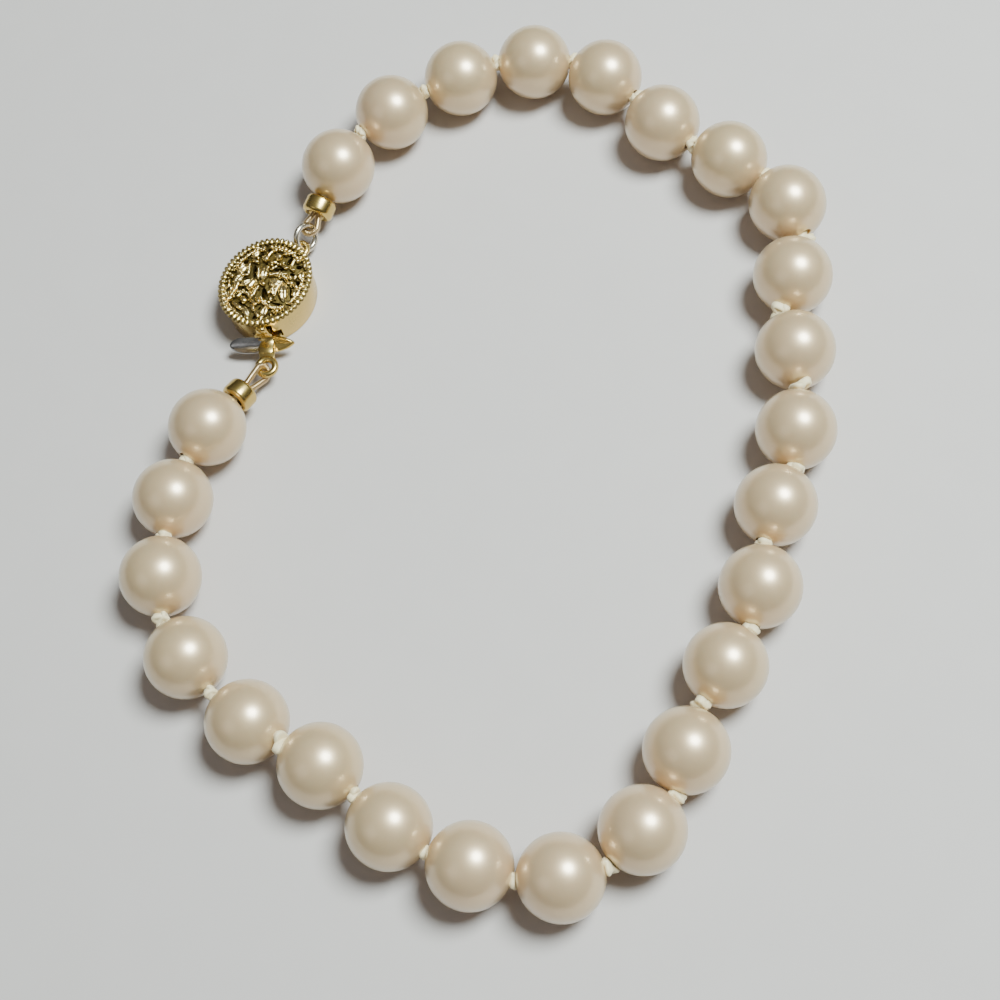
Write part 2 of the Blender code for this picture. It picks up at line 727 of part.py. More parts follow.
def tongue_strip():
    """The folded strip, from the tab's tip into the box, round its bend and out to the ring."""
    lower, upper = tongue_heights()
    face = reach_of_oval(TONGUE_BEARING, BAND_INSET)
    rim_reach = reach_of_oval(TONGUE_BEARING, 0)
    tab = rim_reach + TAB_STAND_OFF
    inside = face - BAND_WALL - SLOT_CLEARANCE
    bend = face - TONGUE_DEPTH
    middle = (lower + upper) / 2 - TONGUE_THICKNESS
    ring_start = face + TONGUE_RING_REACH - TONGUE_RING_DIAMETER / 2 + TONGUE_RING_WIRE / 2
    plate = face + PLATE_STAND_OFF
    ring_width = TONGUE_RING_DIAMETER - TONGUE_RING_WIRE
    body = TONGUE_WIDTH
    neck = TONGUE_NECK
    stations = [
        TongueStation(tab - TAB_LEAN, CLASP_HEIGHT + TAB_RISE, neck),
        TongueStation(tab, CLASP_HEIGHT - TAB_DROP, neck),
        TongueStation(tab + TAB_FOLD_DEPTH, upper + TAB_FOLD_RISE, TAB_FOLD_WIDTH),
        TongueStation(tab + TAB_LEAN, upper + LEAF_RISE, TAB_FOLD_WIDTH),
        TongueStation(face + LEAF_BEND, upper + TAB_LEAN, neck),
        TongueStation(inside + TAB_LEAN / 2, upper, neck),
        TongueStation(inside, upper, body),
        TongueStation(bend + LEAF_SPREAD, middle, body),
        TongueStation(bend + LEAF_BEND, middle - TAB_DROP, body),
        TongueStation(bend, (middle + lower) / 2, body),
        TongueStation(bend + LEAF_BEND, lower, body),
        TongueStation(face + TAB_DROP, lower, body),
        TongueStation(plate - PLATE_FOOT, lower + TAB_DROP, TAB_FOLD_WIDTH),
        TongueStation(plate + PLATE_TOE, LINK_HEIGHT, TAB_FOLD_WIDTH, TONGUE_RING_SHIFT / 2),
        TongueStation(ring_start, LINK_HEIGHT, ring_width, TONGUE_RING_SHIFT),
    ]
    side = compass(TONGUE_BEARING + 90)
    points = [tongue_point(s.reach, s.height, s.shift) for s in stations]
    rings = []
    for i, (point, station) in enumerate(zip(points, stations)):
        along = (points[min(i + 1, len(points) - 1)] - points[max(i - 1, 0)]).normalized()
        across = side * station.width / 2
        through = side.cross(along) * TONGUE_THICKNESS / 2
        rings.append(
            [
                point - across - through,
                point + across - through,
                point + across + through,
                point - across + through,
            ]
        )
    bm = bmesh.new()
    skin(bm, rings)
    return add_object("clasp_tongue", bm, "gold", GOLD, 30.0)


def end_plate():
    """Leaf-shaped plate with two points, sloping outward in front of the slot."""
    lower, _ = tongue_heights()
    outward = compass(TONGUE_BEARING + PLATE_TURN)
    side = compass(TONGUE_BEARING + PLATE_TURN + 90)
    reach = reach_of_oval(TONGUE_BEARING, BAND_INSET) + PLATE_STAND_OFF
    centre = tongue_point(reach, lower + PLATE_BREADTH / 2, PLATE_SHIFT)
    slope = math.radians(PLATE_SLOPE)
    down = outward * math.cos(slope) - UP * math.sin(slope)
    through = side.cross(down) * TONGUE_THICKNESS / 2
    rings = []
    for share in PLATE_STEPS:
        breadth = PLATE_BREADTH / 2 * max(1 - share**2, PLATE_TIP) ** PLATE_FULLNESS
        point = centre + side * share * PLATE_LENGTH / 2
        across = down * breadth
        rings.append(
            [point - across - through, point + across - through]
            + [point + across + through, point - across + through]
        )
    bm = bmesh.new()
    skin(bm, rings)
    return add_object("tongue_plate", bm, "gold", GOLD)


def tongue_ring():
    steps = 14
    radius = (TONGUE_RING_DIAMETER - TONGUE_RING_WIRE) / 2
    outward = compass(TONGUE_BEARING)
    side = compass(TONGUE_BEARING + 90)
    path = arc(
        tongue_ring_centre(), outward, side, radius, 0, 360 * (steps - 1) / steps, steps - 1
    )
    bm = bmesh.new()
    skin(bm, tube_rings(path, UP, TONGUE_RING_WIRE / 2, WIRE_SIDES, closed=True), closed=True)
    return add_object("tongue_ring", bm, "gold", GOLD)


def make_clasp_tongue():
    tongue = tongue_strip()
    boolean(tongue, end_plate(), "UNION")
    boolean(tongue, tongue_ring(), "UNION")
    return tongue


def centre_on_origin(pearls):
    """Moves every piece so that the pearls' outline is centred over the origin."""
    xs = [point.x for point in pearls]
    ys = [point.y for point in pearls]
    shift = Vector((min(xs) + max(xs), min(ys) + max(ys), 0)) / -2
    for obj in bpy.context.scene.collection.objects:
        obj.matrix_world = Matrix.Translation(shift) @ obj.matrix_world


def build():
    for obj in list(bpy.data.objects):
        bpy.data.objects.remove(obj, do_unlink=True)
    points = string_points()
    roundels = (points[1], points[-2])
    pearls = points[2:-2]
    knots = knot_places(pearls)
    directions = bore_directions(pearls, knots, roundels)
    make_pearls(pearls, directions)
    ends = ((pearls[0] - roundels[0]).normalized(), (roundels[1] - pearls[-1]).normalized())
    make_roundels(roundels, ends)
    make_thread(pearls, knots, directions, roundels)
    jump_hook = make_jump_ring(roundels[0])
    make_end_loop("end_loop_1", roundels[0], jump_hook, JUMP_RING_WIRE, JUMP_LOOP_ROLL)
    make_end_loop("end_loop_2", roundels[1], points[-1], TONGUE_RING_WIRE, TONGUE_LOOP_ROLL)
    make_clasp_box()
    make_clasp_tongue()
    centre_on_origin(pearls)


build()
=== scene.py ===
"""Looks of the knotted pearl bracelet: pearls, silk, gold and the filigree of its oval box clasp."""

import json
import math
import random

import bpy
from mathutils import Matrix, Vector


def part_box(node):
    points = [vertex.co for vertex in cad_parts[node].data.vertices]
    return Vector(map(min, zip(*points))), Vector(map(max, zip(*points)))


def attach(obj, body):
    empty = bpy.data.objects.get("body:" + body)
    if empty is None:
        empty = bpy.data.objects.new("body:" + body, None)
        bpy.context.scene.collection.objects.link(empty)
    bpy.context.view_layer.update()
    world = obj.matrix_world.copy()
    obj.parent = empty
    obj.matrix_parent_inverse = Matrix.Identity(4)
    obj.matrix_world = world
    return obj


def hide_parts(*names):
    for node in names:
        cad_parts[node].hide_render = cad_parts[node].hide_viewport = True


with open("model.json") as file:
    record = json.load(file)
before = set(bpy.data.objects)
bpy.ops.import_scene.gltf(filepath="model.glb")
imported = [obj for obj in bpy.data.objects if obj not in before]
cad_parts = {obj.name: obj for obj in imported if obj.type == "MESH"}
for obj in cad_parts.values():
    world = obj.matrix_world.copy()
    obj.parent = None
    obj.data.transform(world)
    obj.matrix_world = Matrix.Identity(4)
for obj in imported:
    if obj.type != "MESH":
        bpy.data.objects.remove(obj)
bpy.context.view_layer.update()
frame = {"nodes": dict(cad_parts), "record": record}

mm = 0.001


# Camera: it stands over the near end of the loop and looks steeply down on the table.
bpy.ops.object.camera_add(location=(0.011625, -0.049437, 0.105509))
camera = bpy.context.object
camera_right = Vector((0.99467, -0.00506, -0.10303))
camera_up = Vector((0.04469, 0.92136, 0.38612))
camera_back = Vector((0.09298, -0.38867, 0.91667))
camera.rotation_euler = Matrix((camera_right, camera_up, camera_back)).transposed().to_euler()
camera.data.lens = 55.28
camera.data.clip_start = 0.005
bpy.context.scene.camera = camera


# Table: a plain, pale, matt surface that runs far past the picture.
def set_values(node, **values):
    """Gives each named input of a shader node its value."""
    for name, value in values.items():
        node.inputs[name.replace("_", " ")].default_value = value


def node_of(tree, kind, **values):
    """New shader node with these values."""
    node = tree.nodes.new(kind)
    set_values(node, **values)
    return node


def new_finish(name):
    """New material: its node tree and its Principled shader."""
    material = bpy.data.materials.new(name)
    material.use_nodes = True
    return material, material.node_tree, material.node_tree.nodes["Principled BSDF"]


def noise_of(tree, **values):
    """Noise over the object's own coordinates."""
    place = node_of(tree, "ShaderNodeTexCoord")
    noise = node_of(tree, "ShaderNodeTexNoise", **values)
    tree.links.new(place.outputs["Object"], noise.inputs["Vector"])
    return noise


def two_tone(tree, shader, noise, first, second):
    """Lets the colour wander between two tones with the noise."""
    tone = tree.nodes.new("ShaderNodeMix")
    tone.data_type = "RGBA"
    set_values(tone, A=(*first, 1), B=(*second, 1))
    tree.links.new(noise.outputs["Fac"], tone.inputs["Factor"])
    tree.links.new(tone.outputs["Result"], shader.inputs["Base Color"])


bpy.ops.mesh.primitive_plane_add(size=2.4)
table = bpy.context.object
table.name = "table"
table_finish, tree, shader = new_finish("table_paint")
set_values(shader, Roughness=0.75)
paint_grain = noise_of(tree, Scale=260.0, Detail=3.0)
two_tone(tree, shader, paint_grain, (0.60, 0.55, 0.53), (0.63, 0.58, 0.56))
table.data.materials.append(table_finish)


# Light: one soft lamp above and to the right of the loop, a wide weak one opposite, and pale air
# that is brightest overhead.
lamp_place = Vector((0.122, 0.040, 0.282))
bpy.ops.object.light_add(type="AREA", location=lamp_place)
lamp = bpy.context.object
lamp.rotation_euler = lamp_place.to_track_quat("Z", "Y").to_euler()
lamp.data.shape = "DISK"
lamp.data.size = 0.125
lamp.data.energy = 2.1
lamp.data.color = (0.88, 1.0, 1.0)
glow_place = Vector((-0.30, -0.20, 0.35))
bpy.ops.object.light_add(type="AREA", location=glow_place)
glow = bpy.context.object
glow.rotation_euler = glow_place.to_track_quat("Z", "Y").to_euler()
glow.data.size = 0.25
glow.data.energy = 0.12
air = bpy.data.worlds.new("air")
air.use_nodes = True
tree = air.node_tree
sky_way = tree.nodes.new("ShaderNodeTexCoord")
sky_height = tree.nodes.new("ShaderNodeSeparateXYZ")
sky_ramp = tree.nodes.new("ShaderNodeValToRGB")
sky_ramp.color_ramp.elements[0].position = 0.05
sky_ramp.color_ramp.elements[0].color = (0.05, 0.045, 0.04, 1)
sky_ramp.color_ramp.elements[1].position = 0.9
sky_ramp.color_ramp.elements[1].color = (0.55, 0.54, 0.52, 1)
tree.links.new(sky_way.outputs["Generated"], sky_height.inputs["Vector"])
tree.links.new(sky_height.outputs["Z"], sky_ramp.inputs["Fac"])
tree.links.new(sky_ramp.outputs["Color"], tree.nodes["Background"].inputs["Color"])
tree.nodes["Background"].inputs["Strength"].default_value = 0.36
bpy.context.scene.world = air


# Pearls: cultured pearls, cream with a blush of rose, each drilled through and polished.
# They are thin shells of nacre grown over a bead, so their shine has a soft depth.
def start():
    """Leaves nothing selected before a new shape is added."""
    if bpy.context.mode != "OBJECT":
        bpy.ops.object.mode_set(mode="OBJECT")
    bpy.ops.object.select_all(action="DESELECT")


def pick_faces(obj, wanted):
    """Goes into edit mode with only the faces picked for which wanted(face) is true."""
    bpy.ops.object.mode_set(mode="EDIT")
    bpy.ops.mesh.select_mode(type="FACE")
    bpy.ops.mesh.select_all(action="DESELECT")
    bpy.ops.object.mode_set(mode="OBJECT")
    for face in obj.data.polygons:
        face.select = wanted(face)
    bpy.ops.object.mode_set(mode="EDIT")


def stand(obj, matrix):
    """Puts a shape in its place and keeps that place in its mesh."""
    obj.data.transform(matrix)
    obj.data.update()


def seated(obj, name, material, slot, *nodes):
    """Names a finished piece, gives it its finish, and makes it part of the bracelet."""
    obj.name = name
    obj.data.materials.clear()
    obj.data.materials.append(material)
    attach(obj, "root")
    if nodes:
        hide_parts(*nodes)
    return obj


def lay_along(centre, direction, roll=0.0):
    """Place of a shape: its X along direction, its Y to the left of that, rolled."""
    side = Vector((0, 0, 1)).cross(direction).normalized()
    over = direction.cross(side)
    left = side * math.cos(roll) + over * math.sin(roll)
    turn = Matrix((direction, left, direction.cross(left))).transposed().to_4x4()
    return Matrix.Translation(centre) @ turn


upright_to_x = Matrix.Rotation(math.pi / 2, 4, "Y")


def middle_of(node):
    """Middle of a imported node's box."""
    low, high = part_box(node)
    return (low + high) / 2


def copy_of(obj):
    """Copy of a shape with a mesh of its own, put into the scene."""
    copy = obj.copy()
    copy.data = obj.data.copy()
    bpy.context.scene.collection.objects.link(copy)
    return copy


def bumpy(tree, shader, noise, strength, distance):
    """Raises the surface a little where the noise is high."""
    bump = node_of(tree, "ShaderNodeBump", Strength=strength, Distance=distance)
    tree.links.new(noise.outputs["Fac"], bump.inputs["Height"])
    tree.links.new(bump.outputs["Normal"], shader.inputs["Normal"])


def patchy_shine(tree, shader, noise, smooth, dull):
    """Lets the roughness wander between two values with the noise."""
    patches = node_of(tree, "ShaderNodeMapRange", To_Min=smooth, To_Max=dull)
    tree.links.new(noise.outputs["Fac"], patches.inputs["Value"])
    tree.links.new(patches.outputs["Result"], shader.inputs["Roughness"])


pearl_radius = 3.0 * mm
bore_cap = 0.9925  # share of the radius beyond which the ball is open for its bore
pearl_nodes = [f"pearl_{n:02d}" for n in range(1, 26)]
pearl_centres = [middle_of(node) for node in pearl_nodes]


def bore_of(node):
    """Direction of a pearl's bore: the wall of the bore has the pearl's only long edges."""
    mesh = frame["nodes"][node].data
    total = Vector()
    for edge in mesh.edges:
        a, b = (mesh.vertices[i].co for i in edge.vertices)
        if (b - a).length > 1.8 * pearl_radius:
            total += b - a if (b - a).dot(total) >= 0 else a - b
    return total.normalized()


nacre, tree, shader = new_finish("nacre")
blush = noise_of(tree, Scale=95.0, Detail=2.0, Roughness=0.5)
skin = noise_of(tree, Scale=900.0, Detail=4.0, Roughness=0.6)
two_tone(tree, shader, blush, (0.70, 0.525, 0.285), (0.715, 0.505, 0.315))
bumpy(tree, shader, skin, 0.06, 0.00006)
patchy_shine(tree, shader, skin, 0.31, 0.40)
set_values(shader, Subsurface_Weight=0.25, Subsurface_Scale=0.0006)
set_values(shader, Subsurface_Radius=(1.0, 0.75, 0.55))
set_values(shader, Metallic=0.40, IOR=1.6, Specular_Tint=(0.85, 0.98, 1.0, 1))
set_values(shader, Coat_Weight=0.8, Coat_Roughness=0.20, Coat_IOR=1.65)

start()
bpy.ops.mesh.primitive_uv_sphere_add(segments=64, ring_count=48, radius=pearl_radius)
ball = bpy.context.object
pick_faces(ball, lambda face: abs(face.center.z) > bore_cap * pearl_radius)
bpy.ops.mesh.delete(type="FACE")
bpy.ops.mesh.select_mode(type="EDGE")
bpy.ops.mesh.select_non_manifold()
bpy.ops.mesh.bridge_edge_loops()
bpy.ops.mesh.select_all(action="SELECT")
bpy.ops.mesh.normals_make_consistent(inside=False)
bpy.ops.object.mode_set(mode="OBJECT")
bpy.ops.object.shade_smooth_by_angle(angle=math.radians(45))

# No pearl is quite round: each is a little narrower and flatter, and turned about its bore.
chance = random.Random(5)
for number, (node, centre) in enumerate(zip(pearl_nodes, pearl_centres), 1):
    pearl = copy_of(ball)
    squeeze = Matrix.Diagonal((1 - chance.uniform(0, 0.012), 1, 1 - chance.uniform(0, 0.02), 1))
    spin = chance.uniform(0, 6.28)
    stand(pearl, lay_along(centre, bore_of(node), spin) @ squeeze @ upright_to_x)
    seated(pearl, f"nacre_{number:02d}", nacre, "nacre", node)
bpy.data.objects.remove(ball)


# Silk: one cream thread of three twisted plies, tied in an overhand knot in every gap.
# Each knot is pulled tight and squeezed between its two pearls.
silk_radius = 0.33 * mm
ply_pitch = 1.2 * mm
silk, tree, shader = new_finish("silk")
fibre = noise_of(tree, Scale=5200.0, Detail=4.0, Roughness=0.7)
soil = noise_of(tree, Scale=500.0, Detail=2.0)
two_tone(tree, shader, soil, (0.92, 0.80, 0.52), (0.82, 0.69, 0.42))
bumpy(tree, shader, fibre, 0.7, 0.00004)
set_values(shader, Roughness=0.45, Sheen_Weight=0.35, Sheen_Roughness=0.4)

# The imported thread's corners that lie outside the pearls are those of its knots.
thread_mesh = frame["nodes"]["silk_thread"].data
thread_points = {tuple(round(c, 7) for c in v.co) for v in thread_mesh.vertices}
knot_points = [
    Vector(p)
    for p in sorted(thread_points)
    if all((Vector(p) - centre).length > pearl_radius - 0.02 * mm for centre in pearl_centres)
]

# Line of an overhand knot: how far its curve runs, its points, and its stretch in three ways.
knot_run = 2.02
knot_steps = 24
knot_breadth, knot_height, knot_length = 1.2, -1.1, 0.8


def knot_line(near, far):
    """Points of one overhand knot between two pearls, in the middle of its CAD solid."""
    middle = (near + far) / 2
    own = [p for p in knot_points if (p - middle).length < 0.75 * pearl_radius]
    centre = sum(own, Vector()) / len(own)
    ahead = (far - near).normalized()
    offset = centre - middle
    offset -= ahead * offset.dot(ahead)
    width = max(((p - centre) - ahead * (p - centre).dot(ahead)).length for p in own)
    out = offset.normalized() if offset.length > 0.1 * mm else Vector((0, 0, 1))
    side = ahead.cross(out)
    loop = width - silk_radius
    half_gap = (far - near).length / 2
    points = []
    for i in range(knot_steps + 1):
        t = -knot_run + 2 * knot_run * i / knot_steps
        across = (t**3 - 3 * t) / 2 * loop * knot_breadth
        over = ((t**4 - 4 * t**2) / 2 + 1) * loop * knot_height
        length = (t**5 - 10 * t) / 8.5 * loop * knot_length
        point = middle + offset + side * across + out * over + ahead * length
        off_axis = point - middle
        off_axis -= ahead * off_axis.dot(ahead)
        room = half_gap - math.sqrt(max(pearl_radius**2 - off_axis.length_squared, 0))
        room = max(room - silk_radius * 0.6, 0.03 * mm)
        shift = (point - middle).dot(ahead)
        point -= ahead * (shift - max(-room, min(room, shift)))
        points.append(point)
    return points


roundel_centres = [middle_of("roundel_1"), middle_of("roundel_2")]
end_share = 0.15  # where the thread ends, from a roundel's middle to its pearl's
bore_stops = (-0.93, -0.5, 0, 0.5, 0.93)  # shares of the radius along a bore
last_pearl = len(pearl_nodes) - 1
line = [roundel_centres[0].lerp(pearl_centres[0], end_share)]
for i, (node, centre) in enumerate(zip(pearl_nodes, pearl_centres)):
    ahead = bore_of(node)
    next_stop = pearl_centres[i + 1] if i < last_pearl else roundel_centres[1]
    ahead *= 1 if ahead.dot(next_stop - centre) > 0 else -1
    line += [centre + ahead * (share * pearl_radius) for share in bore_stops]
    if i < last_pearl:
        line += knot_line(centre, pearl_centres[i + 1])
line.append(roundel_centres[1].lerp(pearl_centres[last_pearl], end_share))

ply_base, ply_lobe = 0.86, 0.14  # shares of the thread's radius: its body, and its three plies
section_points = 15
start()
bpy.ops.curve.primitive_nurbs_circle_add(radius=silk_radius)
ply_section = bpy.context.object
ply_section.data.splines.clear()
lobes = ply_section.data.splines.new("POLY")
lobes.points.add(section_points - 1)
lobes.use_cyclic_u = True
for i, point in enumerate(lobes.points):
    turn = 2 * math.pi * i / section_points
    reach = silk_radius * (ply_base + ply_lobe * math.cos(3 * turn))
    point.co = (reach * math.cos(turn), reach * math.sin(turn), 0, 1)


def only(obj):
    """Leaves this shape alone selected, and active."""
    start()
    obj.select_set(True)
    bpy.context.view_layer.objects.active = obj


thread_curve = bpy.data.curves.new("silk_line", "CURVE")
thread_curve.dimensions = "3D"
thread_curve.bevel_mode = "OBJECT"
thread_curve.bevel_object = ply_section
thread_curve.use_fill_caps = True
thread_curve.twist_mode = "MINIMUM"
spline = thread_curve.splines.new("NURBS")
spline.points.add(len(line) - 1)
spline.order_u = 3
spline.use_endpoint_u = True
spline.resolution_u = 4
run = 0.0
for i, (point, place_on_line) in enumerate(zip(spline.points, line)):
    point.co = (*place_on_line, 1)
    run += (place_on_line - line[i - 1]).length if i else 0
    point.tilt = run / ply_pitch * 2 * math.pi
thread = bpy.data.objects.new("silk_line", thread_curve)
bpy.context.scene.collection.objects.link(thread)
only(thread)
bpy.ops.object.convert(target="MESH")
thread = bpy.context.object
bpy.ops.object.shade_smooth_by_angle(angle=math.radians(60))
seated(thread, "knotted_silk", silk, "silk", "silk_thread")
bpy.data.objects.remove(ply_section)


# Gold: yellow gold plate over cast and drawn metal, bright where hands rub it, duller between.
gold, tree, shader = new_finish("gold")
wear_and_painted_shade = noise_of(tree, Scale=700.0, Detail=4.0, Roughness=0.6)
scratches = noise_of(tree, Scale=4200.0, Detail=3.0)
two_tone(tree, shader, wear_and_painted_shade, (0.76, 0.54, 0.17), (0.58, 0.43, 0.15))
patchy_shine(tree, shader, wear_and_painted_shade, 0.16, 0.34)
bumpy(tree, shader, scratches, 0.12, 0.00002)
set_values(shader, Metallic=1.0)


# Roundels: one smooth barrel bead at each end of the string, pressed from gold tube.
roundel_radius = 1.25 * mm
roundel_length = 1.45 * mm
roundel_bore = 0.58 * mm
start()
bpy.ops.mesh.primitive_cylinder_add(vertices=48, radius=roundel_radius, depth=roundel_length)
barrel = bpy.context.object
pick_faces(barrel, lambda face: abs(face.normal.z) > 0.9)
bpy.ops.mesh.inset(thickness=roundel_radius - roundel_bore, use_individual=True)
bpy.ops.mesh.delete(type="ONLY_FACE")
bpy.ops.mesh.select_mode(type="EDGE")
bpy.ops.mesh.select_all(action="DESELECT")
bpy.ops.mesh.select_non_manifold()
bpy.ops.mesh.bridge_edge_loops()
bpy.ops.mesh.select_all(action="SELECT")
bpy.ops.mesh.normals_make_consistent(inside=False)
bpy.ops.object.mode_set(mode="OBJECT")
rounding = barrel.modifiers.new("rounding", "BEVEL")
rounding.width = 0.5 * mm
rounding.segments = 6
rounding.limit_method = "ANGLE"
rounding.angle_limit = math.radians(60)
bpy.ops.object.modifier_apply(modifier=rounding.name)
bpy.ops.object.shade_smooth_by_angle(angle=math.radians(45))
end_pearls = (pearl_centres[0], pearl_centres[-1])
for number, (centre, pearl) in enumerate(zip(roundel_centres, end_pearls), 1):
    roundel = copy_of(barrel)
    stand(roundel, lay_along(centre, (pearl - centre).normalized()) @ upright_to_x)
    seated(roundel, f"barrel_bead_{number}", gold, "gold", f"roundel_{number}")
bpy.data.objects.remove(barrel)


# Jump ring: a ring of pale metal wire, bent round and pushed shut, between loop and eye.
pale_metal, tree, shader = new_finish("pale_metal")
tarnish = noise_of(tree, Scale=900.0, Detail=4.0)
two_tone(tree, shader, tarnish, (0.78, 0.74, 0.66), (0.62, 0.55, 0.42))
patchy_shine(tree, shader, tarnish, 0.16, 0.36)
set_values(shader, Metallic=1.0)

jump_ring_radius = 1.0 * mm
jump_ring_wire = 0.5 * mm
jump_ring_roll = math.radians(64)
half_cut = 0.012 * mm
start()
bpy.ops.mesh.primitive_torus_add(
    major_segments=72, minor_segments=20, major_radius=jump_ring_radius, minor_radius=jump_ring_wire / 2
)
ring = bpy.context.object
bpy.ops.object.mode_set(mode="EDIT")
for cut_side in (half_cut, -half_cut):
    bpy.ops.mesh.select_all(action="SELECT")
    bpy.ops.mesh.bisect(plane_co=(0, cut_side, 0), plane_no=(0, 1, 0), threshold=1e-7)
bpy.ops.object.mode_set(mode="OBJECT")
pick_faces(ring, lambda face: face.center.x < 0 and abs(face.center.y) < 0.010 * mm)
bpy.ops.mesh.delete(type="FACE")
bpy.ops.mesh.select_mode(type="EDGE")
bpy.ops.mesh.select_all(action="DESELECT")
bpy.ops.mesh.select_non_manifold()
bpy.ops.mesh.fill()
bpy.ops.mesh.select_all(action="SELECT")
bpy.ops.mesh.normals_make_consistent(inside=False)
bpy.ops.object.mode_set(mode="OBJECT")
bpy.ops.object.shade_smooth_by_angle(angle=math.radians(40))
ring_centre = middle_of("jump_ring")
ring_way = (roundel_centres[0] - ring_centre).normalized()
stand(ring, lay_along(ring_centre, ring_way, jump_ring_roll))
seated(ring, "pale_jump_ring", pale_metal, "pale_metal", "jump_ring")


# End loops: the thread's ends, bent back into the roundels and wound tightly with fine gold wire.
wound_wire, tree, shader = new_finish("wound_wire")
rub = noise_of(tree, Scale=1300.0, Detail=3.0)
two_tone(tree, shader, rub, (0.74, 0.58, 0.30), (0.66, 0.50, 0.33))
set_values(shader, Metallic=1.0, Roughness=0.3)


def ribbed(points, radius, pitch, closed, flat=1.0, core=0.8, blunt=1.0):
    """Ribbed wire along level points: one rib, repeated in a row and bent along the line.

    flat is its height by its width, core its smooth middle by its radius, and under 1 blunt
    squares the ends of its ribs.
    """
    path_curve = bpy.data.curves.new("path", "CURVE")
    path_curve.dimensions = "2D"
    spline = path_curve.splines.new("POLY")
    spline.points.add(len(points) - 1)
    spline.use_cyclic_u = closed
    for point, (x, y) in zip(spline.points, points):
        point.co = (x, y, 0, 1)
    ends = points + points[:1] if closed else points
    length = sum(math.dist(a, b) for a, b in zip(ends, ends[1:]))
    count = max(round(length / pitch), 1)
    step = length / count
    path = bpy.data.objects.new("path", path_curve)
    bpy.context.scene.collection.objects.link(path)
    start()
    bpy.ops.mesh.primitive_uv_sphere_add(segments=10, ring_count=6, radius=radius)
    row = bpy.context.object
    for corner in row.data.vertices:
        corner.co.y = math.copysign(abs(corner.co.y / radius) ** blunt * radius, corner.co.y)
    rib = Matrix.Diagonal((step / radius * 0.46, 1, flat, 1))
    stand(row, Matrix.Translation((step / 2, 0, 0)) @ rib)
    repeat = row.modifiers.new("repeat", "ARRAY")
    repeat.count = count
    repeat.use_relative_offset = False
    repeat.use_constant_offset = True
    repeat.constant_offset_displace = (step, 0, 0)
    bpy.ops.object.modifier_apply(modifier=repeat.name)
    bend = row.modifiers.new("bend", "CURVE")
    bend.object = path
    bpy.ops.object.modifier_apply(modifier=bend.name)
    bpy.ops.object.shade_smooth()
    path_curve.dimensions = "3D"
    path_curve.bevel_depth = radius * core
    path_curve.bevel_resolution = 2
    path_curve.use_fill_caps = True
    only(path)
    bpy.ops.object.convert(target="MESH")
    stand(path, Matrix.Diagonal((1, 1, flat, 1)))
    bpy.ops.object.shade_smooth()
    row.select_set(True)
    bpy.context.view_layer.objects.active = row
    bpy.ops.object.join()
    return row


loop_wire = 0.27 * mm
loop_neck = 0.27 * mm
loop_setback = 0.15 * mm
wire_gauge = 0.11 * mm
link_clearance = 0.08 * mm


def wound_loop(name, centre, hook, held_wire, roll):
    """Pear-shaped loop from a roundel round the wire of a ring."""
    way = (hook - centre).normalized()
    wide = held_wire / 2 + link_clearance + loop_wire
    far = (hook - centre).length
    mouth = roundel_length / 2
    bend = [math.radians(d) for d in range(-90, 91, 10)]
    points = [(far + wide * math.cos(a), wide * math.sin(a)) for a in bend]
    points.append((mouth, loop_neck))
    foot = [math.radians(d) for d in range(90, 271, 20)]
    points += [(loop_setback + loop_neck * math.cos(a), loop_neck * math.sin(a)) for a in foot]
    points.append((mouth, -loop_neck))
    loop = ribbed(points, loop_wire, wire_gauge, True)
    stand(loop, lay_along(centre, way, roll))
    return seated(loop, f"wound_loop_{name}", wound_wire, "wound_wire", f"end_loop_{name}")


jump_ring_hook = ring_centre + ring_way * jump_ring_radius
tongue_ring_hook = Vector((-17.534, 6.214, 1.6)) * mm
tongue_ring_wire = 0.55 * mm
wound_loop("1", roundel_centres[0], jump_ring_hook, jump_ring_wire, math.radians(6))
wound_loop("2", roundel_centres[1], tongue_ring_hook, tongue_ring_wire, math.radians(60))


# Clasp box: an oval pan of rolled gold sheet, a smooth band soldered to a flat back.
# Its long axis lies across the table at the bearing of the soldered eye.
clasp_centre = Vector(frame["record"]["mounts"][0]["pos_m"])
clasp_bearing = math.radians(58.5)
tongue_bearing = math.radians(269)
clasp_place = Matrix.Translation(clasp_centre) @ Matrix.Rotation(clasp_bearing - math.pi / 2, 4, "Z")
half_length = 4.1 * mm
half_width = 3.65 * mm
clasp_height = 3.1 * mm
band_inset = 0.25 * mm
band_wall = 0.35 * mm
back_thickness = 0.4 * mm
lid_rise = 0.35 * mm
rim_seat = 0.15 * mm  # how far the pan's edge stays below the rim

start()
bpy.ops.mesh.primitive_cylinder_add(vertices=96, radius=1, depth=clasp_height - rim_seat)
pan = bpy.context.object
shape = Matrix.Diagonal((half_width - band_inset, half_length - band_inset, 1, 1))
stand(pan, Matrix.Translation((0, 0, clasp_height / 2 - rim_seat / 2)) @ shape)
pick_faces(pan, lambda face: face.normal.z > 0.9)
bpy.ops.mesh.inset(thickness=band_wall)
bpy.ops.mesh.extrude_region_move(
    TRANSFORM_OT_translate={"value": (0, 0, back_thickness - clasp_height + rim_seat)}
)
bpy.ops.object.mode_set(mode="OBJECT")
soften = pan.modifiers.new("soften", "BEVEL")
soften.width = 0.1 * mm
soften.segments = 3
soften.limit_method = "ANGLE"
soften.angle_limit = math.radians(50)
bpy.ops.object.modifier_apply(modifier=soften.name)


def cut_with(target, tool):
    """Cuts the tool's shape out of the target and throws the tool away."""
    only(target)
    cut = target.modifiers.new("cut", "BOOLEAN")
    cut.operation = "DIFFERENCE"
    cut.solver = "EXACT"
    cut.object = tool
    bpy.ops.object.modifier_apply(modifier=cut.name)
    bpy.data.objects.remove(tool)


